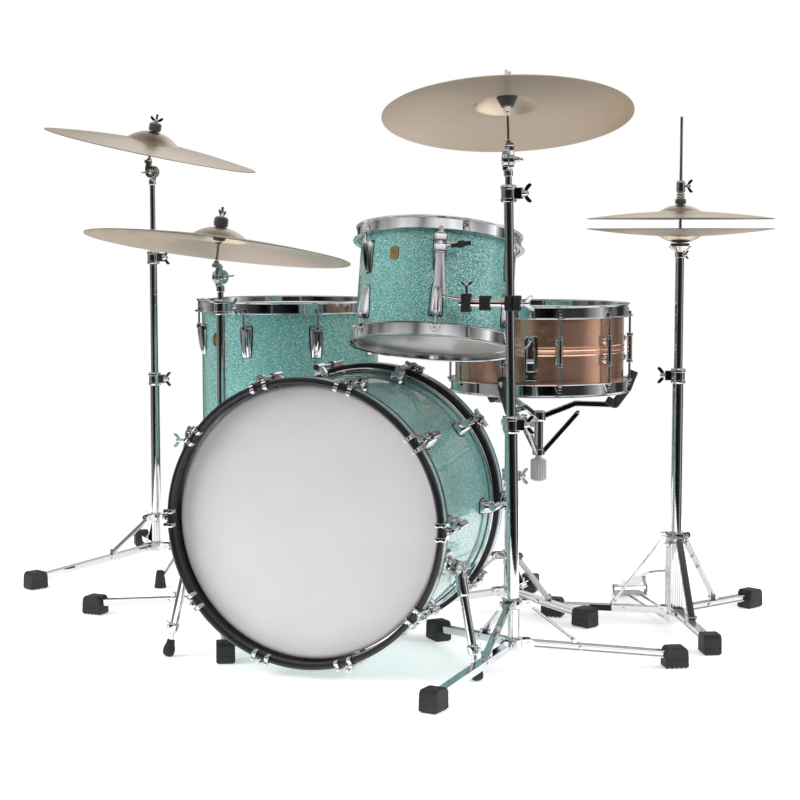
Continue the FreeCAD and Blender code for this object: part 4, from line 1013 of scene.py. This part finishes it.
def leg_bar(length, width, depth):
    """A flat leg folded from sheet: eased edges and a shallow channel along its upper face."""
    across, up = width / 2, depth / 2
    half = [(across, -up), (across, up), (across * 0.55, up), (across * 0.42, up - 1.8)]
    return bar(rounded(mirrored(half), 1.1, 2), 0, length, 0.6)


def rubber_foot(length, width, height):
    """A moulded block with cut back upper ends, a parting groove and ribs on its sole."""
    side = length / 2
    half = [(side, 2), (side, height * 0.34), (side - 0.8, height * 0.36), (side - 0.8, height * 0.4),
            (side, height * 0.42), (side - 1.6, height - 6), (side - 7, height)]
    block = bar(rounded(mirrored(half), 1.6, 2), -width / 2, width / 2, 2.4).moved(spin(90, "X"))
    ribs = [slab(4, width - 6, 0, 3, 0.8, 0.6).moved(at(x, 0, 0))
            for x in np.linspace(-side + 5, side - 5, 5)]
    return joined(block, *ribs)


def clamp_form(side_turn):
    """A split height collar with its lips, bolt and wing screw."""
    collar = lathe([(12, -15.5), (14.2, -14.5), (15, -12.5), (15, -9), (13.8, -8), (13.8, 8), (15, 9),
                    (15, 13), (13.8, 15.4), (10.5, 16.5)], 36)
    lips = [slab(17, 5.4, -10, 11, 1.6, 1).moved(at(18, side * 4, 0)) for side in (-1, 1)]
    bolt = joined(peg(3, 12, 30), peg(5.6, 24.5, 28, 1)).moved(spin(90, "Y"))
    wing = wing_nut(18).moved(at(27, 0, 0.5) @ spin(90, "Y"))
    return joined(collar, *lips, bolt, wing).moved(spin(side_turn))


def build_stands():
    """The fixed tubes, the tripods with their hubs and feet, and the height collars of all five stands."""
    columns = [ends_of(points) for points in solids("stand_lower_tubes")]
    stands = [low for high, low in columns if low.z < LOWEST_COLLAR]
    tubes, castings, legs, braces, feet = [], [], [], [], []
    for high, low in columns:
        radius, length = 11 if low in stands else 8.7, (high - low).length
        form = lathe([(radius - 0.8, 0), (radius, 1), (radius, length - 1), (radius - 0.6, length)], 40)
        tubes.append(form.moved(aim(low, high, (1, 0, 0))))
    foot_middles = [middle_of(points) for points in solids("rubber_feet") if np.ptp(points[:, 2]) < 41 and
                    np.ptp(points[:, 0]) + np.ptp(points[:, 1]) > 70]
    hubs, collars = {}, {}

    def meet(spokes, end, point):
        """Notes that a leg or a brace meets the nearest stand at a height, and heads towards a point."""
        column = min(stands, key=lambda low: (low.xy - end.xy).length)
        heading = Vector((point.x - column.x, point.y - column.y, 0)).normalized()
        spokes.setdefault(tuple(column.xy), []).append((end.z, heading))
        return heading

    for points in solids("stand_legs"):
        high, low = ends_of(points)
        line, length = aim(high, low), (low - high).length
        legs.append(leg_bar(length, 14, 18).moved(line))
        legs.append(peg(3.4, -10.6, 10.6, 1).moved(line @ at(0, 0, length * BRACE_SHARE) @ spin(90, "X")))
        heading = meet(hubs, high, low)
        foot = min(foot_middles, key=lambda middle: (middle.xy - low.xy).length)
        feet.append(rubber_foot(46, 36, 40).moved(axes((foot.x, foot.y, 0), UP, heading)))
    pin = joined(peg(3, -10.4, 10.4, 0.8), ring(5, 2.6, 8, 10, 0.5), ring(5, 2.6, -10, -8, 0.5))
    for points in solids("stand_braces"):
        high, low = ends_of(points)
        line, length = aim(high, low), (low - high).length
        braces.append(leg_bar(length + 8, 5.6, 14).moved(line @ at(0, 0, -1)))
        braces.append(pin.moved(line @ at(0, 0, length - 2) @ spin(90, "X")))
        meet(collars, high, high)
    for column, spokes in hubs.items():
        castings.append(hub_form(spokes, 17, 9, 18, 26).moved(at(*column, 0)))
    bolt = joined(peg(3.2, 14, 24), wing_nut(15).moved(at(0, 0, 19)))
    for column, spokes in collars.items():
        height, heading = spokes[0]
        placed_bolt = bolt.moved(at(0, 0, height) @ spin(bearing(heading) + 55) @ spin(90, "Y"))
        castings.append(joined(hub_form(spokes, 16, 8, 14, 25), placed_bolt).moved(at(*column, 0)))
    for points in solids("stand_castings"):
        middle = middle_of(points)
        if middle.z < LOWEST_COLLAR:
            continue
        high, low = min(columns, key=lambda ends: abs(ends[0].z - middle.z) + (ends[0].xy - middle.xy).length)
        axis = aim(low, high, (1, 0, 0))
        height = float(seen_from(points, axis)[:, 2].min()) + 15
        turn = bearing(seen_from([points.mean(0)], axis)[0])
        castings.append(clamp_form(turn).moved(axis @ at(0, 0, height)))
    piece("stand_tubes", joined(*tubes), "chrome", "kit", stands_for=["stand_lower_tubes"])
    piece("stand_cast_parts", joined(*castings), "chrome", "kit", stands_for=["stand_castings"])
    piece("stand_flat_legs", joined(*legs), "chrome", "kit", stands_for=["stand_legs"])
    piece("stand_flat_braces", joined(*braces), "chrome", "kit", stands_for=["stand_braces"])
    piece("stand_block_feet", joined(*feet), "rubber", "kit", stands_for=["rubber_feet"])


def hub_form(spokes, radius, half, width, reach):
    """A turned hub with a fork of two cheeks for each leg or brace, and a pin across each fork."""
    z, side = sum(spoke[0] for spoke in spokes) / len(spokes), width / 2
    hub = lathe([(radius - 2, -half - 1), (radius, 1 - half), (radius, half - 1), (radius - 1.5, half + 1),
                 (12.5, half + 3), (11.4, half + 4)], 40)
    cheek = rounded([(8, 1 - half), (reach + 6, 1 - half), (reach + 12, -2), (reach + 12, 3),
                     (reach + 6, half), (8, half)], 4)
    cheek = bar(cheek, -1.3, 1.3, 0.6).moved(spin(90, "X"))
    pin = joined(peg(2.6, -side - 4.5, side + 4.5, 0.8, 16), ring(4.4, 2, -side - 4.6, -side - 2.8, 0.4),
                 ring(4.4, 2, side + 2.8, side + 4.6, 0.4))
    fork = joined(cheek.placed(at(0, -side - 1.7, 0), at(0, side + 1.7, 0)),
                  pin.moved(at(reach, 0, 0) @ spin(90, "X")))
    places = [at(0, 0, height) @ spin(bearing(heading)) for height, heading in spokes]
    return joined(hub.moved(at(0, 0, z)), fork.placed(*places))


# ---------------------------------------------------------------- cymbals

def cymbal_profile(radius, bow, bell_radius, bell_rise, thick):
    """Section of a cymbal from its rim to its bore and back: a shallow bow and a domed bell."""
    shares = [share for share in (1, 0.995, 0.96, 0.9, 0.82, 0.74, 0.66, 0.58, 0.5, 0.42, 0.35, 0.3)
              if share * radius > bell_radius * 1.12]
    foot = bow * (1 - (bell_radius / radius) ** 1.8)
    under = [(radius * share, bow * (1 - share ** 1.8)) for share in shares]
    under += [(bell_radius * 1.06, foot - 0.35), (bell_radius, foot + 0.6)]
    under += [(bell_radius * share, foot + bell_rise * (1 - share ** 2.2))
              for share in (0.96, 0.9, 0.82, 0.72, 0.6, 0.46, 0.3, 0.16)]
    under.append((6.5, foot + bell_rise))
    over = [(out, height + thick) for out, height in reversed(under)]
    return under + over, foot + bell_rise + thick


def toothed_disc(radius, low, high):
    return joined(knurled(radius, low, high, 36, 0.8), peg(radius * 0.55, high - 0.4, high + 1.6, 0.6))


def build_cymbal(node):
    """The cymbal, and the tilter with its post, seat, felts and wing nuts."""
    pivot, tilt_axis = anchor(f"{node}_tilt"), axis_of(f"{node}_tilt")
    post_axis = axis_of(f"{node}_spin")
    post = axes(anchor(f"{node}_spin"), post_axis, tilt_axis.cross(post_axis))
    points = seen_from(np.vstack(solids(f"{node}_cymbal")), post)
    radius = float(np.hypot(points[:, 0], points[:, 1]).max())
    along = float(points[:, 2].min())
    profile, crown = cymbal_profile(radius, 21, 62, 25, 1.5)
    piece(f"{node}_plate", lathe(profile, 200, looped=True), "bronze", node, stands_for=[f"{node}_cymbal"],
          place=post @ at(0, 0, along), sharp=50)
    offset = seen_from([pivot], post)[0][0]
    seat = along + crown - 6
    metal = [toothed_disc(15, 0.6, 10.2).moved(at(offset, 0, 0) @ spin(90, "X")),
             slab(13, 10, 2, 24, 3, 1.6).moved(at(4, -5.6, 0)),
             slab(15, 17, 17, 26, 4, 2).moved(at(0, -2, 0)),
             lathe([(5.6, 24), (5.6, 30), (3, 33), (3, along + crown + 41), (2, along + crown + 42)], 20),
             lathe([(4.6, seat - 32), (7, seat - 31), (7, seat - 23), (5, seat - 21)], 28),
             wing_nut(17).moved(at(offset, -12, 0) @ spin(90, "X") @ spin(20)),
             ring(11, 3.1, along + crown + 20, along + crown + 21.4, 0.4),
             wing_nut(15.5).moved(at(0, 0, along + crown + 21.4) @ spin(25))]
    head = f"{node}_head"
    piece(f"{node}_tilter_metal", joined(*metal).moved(post), "chrome", head, stands_for=[f"{node}_tilter"])
    cup = lathe([(8, seat - 22), (11.4, seat - 21.4), (13, seat - 18), (19.5, seat - 5.6),
                 (19.5, seat - 4.4), (4, seat - 4.2)], 44)
    felts = [cup, soft_washer(18.5, 3.6, seat - 4.4, seat + 0.3),
             soft_washer(15, 3.3, along + crown + 0.6, along + crown + 19.8)]
    piece(f"{node}_felts", joined(*felts).moved(post), "felt", head)
    build_pole(node, pivot, tilt_axis)


def soft_washer(outer, inner, low, high):
    """A felt washer with bulging, rounded edges."""
    middle = (low + high) / 2
    round_edge = min(3.0, (high - low) * 0.42)
    outline = [(inner, low), (outer - round_edge, low), (outer - 0.6, low + round_edge * 0.6),
               (outer, middle), (outer - 0.6, high - round_edge * 0.6), (outer - round_edge, high),
               (inner, high)]
    return lathe(rounded(outline, 1.2, 2), 48, looped=True)


def build_pole(node, pivot, tilt_axis):
    """The telescoping tubes that carry a tilter, with the collar between them and the tilter's lower half."""
    axis = axis_of(f"{node}_height")
    line = axes(pivot, axis, tilt_axis.cross(axis))
    local = seen_from(np.vstack(solids(f"{node}_upper_tube")), line)
    low = float(local[:, 2].min())
    parts = [toothed_disc(15, 0.6, 10.2).moved(spin(-90, "X")),
             slab(12, 10, -20, -4, 3, 1.6).moved(at(0, 5.6, 0)),
             lathe([(6.6, -31), (8.4, -29), (8.4, -19), (6.5, -16.5)])]
    wide = local[(np.hypot(local[:, 0], local[:, 1]) > 12) & (local[:, 2] < -60)]
    if len(wide):
        joint_low = float(wide[:, 2].min())
        parts += [lathe([(8.7, low), (8.7, joint_low + 2)], 36),
                  clamp_form(0).moved(at(0, 0, joint_low + 14)),
                  lathe([(6.2, joint_low + 6), (6.2, -22)], 32)]
    else:
        parts.append(lathe([(6.2, low), (6.2, -22)], 32))
    piece(f"{node}_pole_tubes", joined(*parts).moved(line), "chrome", f"{node}_pole",
          stands_for=[f"{node}_upper_tube"])


# ---------------------------------------------------------------- hi-hat

def build_hihat():
    low, high = corners("hihat_top_cymbal")
    column = at((low.x + high.x) / 2, (low.y + high.y) / 2, 0)
    radius = (high.x - low.x) / 2
    top = low.z
    bottom = corners("hihat_bottom_cymbal")[1].z
    profile, crown = cymbal_profile(radius, 15, 43, 14, 1.5)
    plate = lathe(profile, 180, looped=True)
    piece("hihat_top_plate", plate, "bronze", "hihat_top", stands_for=["hihat_top_cymbal"],
          place=column @ at(0, 0, top), sharp=50)
    piece("hihat_bottom_plate", plate, "bronze", "hihat_pole", stands_for=["hihat_bottom_cymbal"],
          place=column @ at(0, 0, bottom) @ FLIP, sharp=50)
    seat = bottom - crown - 0.3
    tube_low = corners("hihat_upper_tube")[0].z
    pole = joined(lathe([(8.7, tube_low - seat), (8.7, -30), (10, -29), (10, -18), (12, -16), (22, -8),
                         (23, -6.2), (5.6, -6)], 36), wing_nut(9).moved(at(10, 0, -24) @ spin(90, "Y")))
    piece("hihat_seat_metal", pole.moved(column @ at(0, 0, seat)), "chrome", "hihat_pole",
          stands_for=["hihat_upper_tube"])
    piece("hihat_seat_felt", soft_washer(20, 5, seat - 6, seat - 0.1).moved(column), "felt", "hihat_pole")
    barrel = turned([(3.8, -12), (6, -12), (6, 24), (9, 26), (9, 46), (6.5, 50), (3.8, 50)], 1, 3, 32)
    screw = joined(peg(2.6, 6, 16), wing_nut(14).moved(at(0, 0, 12))).moved(at(0, 0, 38) @ spin(90, "Y"))
    clutch = joined(barrel, knurled(9, -12.5, -8), knurled(8.4, 14, 18), knurled(8.4, 19, 23), screw)
    clutch_place = column @ at(0, 0, top + crown)
    piece("hihat_clutch_metal", clutch.moved(clutch_place), "chrome", "hihat_top",
          stands_for=["hihat_clutch"])
    felts = joined(soft_washer(11, 6.2, -7.4, -2.2), soft_washer(11.5, 6.2, 0.4, 13))
    piece("hihat_clutch_felts", felts.moved(clutch_place), "felt", "hihat_top")
    build_pedal(column)


def build_pedal(column):
    """The pull rod, the ribbed frame, the heel plate and the footboard."""
    rod_top = corners("hihat_pull_rod")[1].z
    heel = anchor("hihat_pedal_press")
    heading = Vector((heel.x - column.translation.x, heel.y - column.translation.y, 0))
    out = heading.length
    spot = axes((column.translation.x, column.translation.y, 0), UP, heading)
    rod = joined(lathe([(3.1, 100), (3.1, 940), (2.9, 942), (2.9, rod_top - 2), (2, rod_top)], 20),
                 slab(56, 10, 116.5, 121.5, 2, 1).moved(at(26, 0, 0)))
    links = [ring(4.4, 2.6, -2.2, 2.2, 0.9, 16).moved(at(56, 0, z) @ spin(90 * (k % 2)) @ spin(90, "X"))
             for k, z in enumerate(np.arange(112, 103, -5.4))]
    piece("hihat_rod", joined(rod, *links).moved(spot), "chrome", "hihat_pull", stands_for=["hihat_pull_rod"])
    top, across = corners("hihat_frame")[1].z, 17.4
    shell = slab(across * 2, across * 2, 26, top - 1, 3, 1.6)
    ribs = []
    for quarter in (0, 90, 180, 270):
        rib = slab(2, 2.6, 34, top - 10, 0.8, 0.6) if quarter else slab(2, 2.6, 44, 86, 0.8, 0.6)
        ribs += [rib.moved(spin(quarter) @ at(across + 0.3, shift, 0)) for shift in (-10, -5, 0, 5, 10)]
    cap = lathe([(17, top - 2), (16, top + 1.5), (12.5, top + 2.5), (11.4, top + 7)], 36)
    base = bar(rounded([(-15, -20), (19, -20), (19, 20), (-15, 20)], 6), 8, 27, 2)
    stays = [pipe([(8, side * 14, 9), (out - 40, side * 14, 9), (out - 10, side * 14, 5)], 3)
             for side in (-1, 1)]
    heel_plate = bar(rounded(mirrored([(out + 36, 20), (out + 30, 34), (out - 20, 40)], 1), 8), 0.3, 7, 2)
    cheeks = [bar(rounded([(out - 10, 4), (out + 10, 4), (out + 6, 30), (out - 6, 30)], 5), -2, 2, 0.8).moved(
        at(0, side * 39, 0) @ spin(90, "X")) for side in (-1, 1)]
    whole = joined(shell, *ribs, cap, base, *stays, heel_plate, *cheeks)
    piece("hihat_ribbed_frame", whole.moved(spot), "chrome", "kit", stands_for=["hihat_frame"])
    board_points = seen_from(solids("hihat_footboard")[0], spot)
    toe = middle_of(board_points[board_points[:, 2] > board_points[:, 2].max() - 6])
    hinge, tip = Vector((out, 0, heel.z)), Vector((toe.x, 0, toe.z))
    length = (hinge - tip).length
    outline = rounded(mirrored([(34, 4), (35, length * 0.5), (30, length - 14), (18, length)]), 10)
    stud = turned([(2.2, 2), (4.6, 2), (4.2, 3.8), (2.8, 3.8)], 0.6, 2, 14)
    treads = stud.placed(*[at(across * 11, length * (0.12 + row * 0.078), 0)
                           for row in range(11) for across in range(-2, 3)])
    lip = slab(40, 3, 0, 10, 1.2, 1).moved(at(0, length * 0.05, 0))
    board = joined(bar(outline, -2.4, 2.4, 1.6), treads, lip).moved(aim(hinge, tip) @ ALONG)
    pin = peg(3.4, -36, 36, 1).moved(at(out, 0, heel.z) @ spin(90, "X"))
    piece("hihat_footboard_plate", joined(board, pin).moved(spot), "chrome", "hihat_pedal",
          stands_for=["hihat_footboard"])


# ---------------------------------------------------------------- the stage: floor, light and camera

FLOOR_RADIUS = 1.65


def build_stage():
    mesh = bpy.data.meshes.new("floor")
    rim = circle(FLOOR_RADIUS, 0, 128)
    mesh.from_pydata(rim.tolist(), [], [tuple(range(len(rim)))])
    floor = bpy.data.objects.new("floor", mesh)
    made, tree, shader = new_material("floor_paper")
    settle(tree, shader, Base_Color=(0.90, 0.90, 0.90, 1), Roughness=0.9, Specular_IOR_Level=0.1,
           Emission_Color=(1, 1, 1, 1), Emission_Strength=0.40)
    mesh.materials.append(made)
    floor.location.z = -0.0005
    bpy.context.scene.collection.objects.link(floor)


def area_light(name, place, target, width, height, watts):
    light = bpy.data.lights.new(name, "AREA")
    light.shape = "RECTANGLE"
    light.size, light.size_y, light.energy = width, height, watts
    made = bpy.data.objects.new(name, light)
    made.visible_glossy = False
    made.location = place
    made.rotation_euler = (Vector(target) - Vector(place)).to_track_quat("-Z", "Y").to_euler()
    bpy.context.scene.collection.objects.link(made)


def greys(tree, source, *stops):
    return ramp(tree, source, [(place, (value,) * 3) for place, value in stops])


def mixed(tree, first, second, factor=1.0, blend_type="MULTIPLY"):
    node = add(tree, "ShaderNodeMix", data_type="RGBA", blend_type=blend_type, Factor=factor)
    feed(tree, node.inputs[6], first)
    feed(tree, node.inputs[7], second)
    return node.outputs[2]


def build_world(toward_camera):
    """A white room that is darker on the camera's side, so that bright metal has something dark to show."""
    world = bpy.data.worlds.new("studio")
    bpy.context.scene.world = world
    world.use_nodes = True
    tree = world.node_tree
    direction = add(tree, "ShaderNodeTexCoord").outputs["Generated"]
    height = add(tree, "ShaderNodeSeparateXYZ", direction).outputs["Z"]
    facing = vector_math(tree, "DOT_PRODUCT", direction, toward_camera, result="Value")
    dark = greys(tree, facing, (0.0, 0.62), (0.16, 1.15), (0.38, 0.42), (0.62, 0.11), (1.0, 0.05))
    opening = add(tree, "ShaderNodeMapRange", height, interpolation_type="SMOOTHSTEP", From_Min=0.20,
                  From_Max=0.42)
    opened = mixed(tree, dark, (0.9, 0.9, 0.9, 1), opening.outputs["Result"], "MIX")
    panels = greys(tree, noise(tree, 1.7, 1.0, direction), (0.36, 0.10), (0.44, 0.62), (0.56, 1.0),
                   (0.66, 1.5))
    storeys = greys(tree, height, (0.0, 0.55), (0.12, 0.8), (0.4, 1.0), (0.75, 0.72), (1.0, 0.60))
    room = settle(tree, tree.nodes["Background"], Color=mixed(tree, mixed(tree, opened, panels), storeys))
    backdrop = add(tree, "ShaderNodeBackground", Color=(1, 1, 1, 1))
    seen = add(tree, "ShaderNodeLightPath").outputs["Is Camera Ray"]
    shown = add(tree, "ShaderNodeMixShader", seen, room.outputs[0], backdrop.outputs[0])
    settle(tree, tree.nodes["World Output"], Surface=shown.outputs[0])


CAMERA_PLACE = (1.2944, -3.5793, 0.818)
CAMERA_HEADING = 18.1
CAMERA_DIP = 5.3
CAMERA_LENS = 81.3


def build_camera():
    camera = bpy.data.cameras.new("camera")
    camera.lens, camera.sensor_width = CAMERA_LENS, 36.0
    made = bpy.data.objects.new("camera", camera)
    made.location = CAMERA_PLACE
    made.rotation_euler = (math.radians(90 - CAMERA_DIP), 0, math.radians(CAMERA_HEADING))
    bpy.context.scene.collection.objects.link(made)
    bpy.context.scene.camera = made
    return made


def build_lights(camera):
    away = camera.location.copy()
    away.z = 0
    away.normalize()
    left = Vector((-away.y, away.x, 0))
    build_world(tuple((away + Vector((0, 0, 0.12))).normalized()))
    target = (0, 0, 0.55)
    area_light("right_box", away * 1.1 - left * 3.0 + Vector((0, 0, 1.6)), target, 1.9, 2.8, 95)
    area_light("left_box", away * 1.1 + left * 3.0 + Vector((0, 0, 1.6)), target, 1.9, 2.8, 80)
    area_light("top_box", away * 0.3 + Vector((0, 0, 3.2)), (0, 0, 0), 3.0, 2.4, 55)


# ---------------------------------------------------------------- build

camera = build_camera()
build_lights(camera)
build_stage()
build_bass_drum()
build_spurs(axes(sum(corners("bass_drum_shell"), Vector()) / 2, (0, -1, 0), (1, 0, 0)))
build_mount(build_tom("rack_tom", axis_of("rack_tom_height"), 24))
build_floor_tom()
build_snare()
build_basket()
build_stands()
for cymbal in ("left_crash", "ride", "right_crash"):
    build_cymbal(cymbal)
build_hihat()
bpy.context.scene.view_settings.view_transform = "Standard"
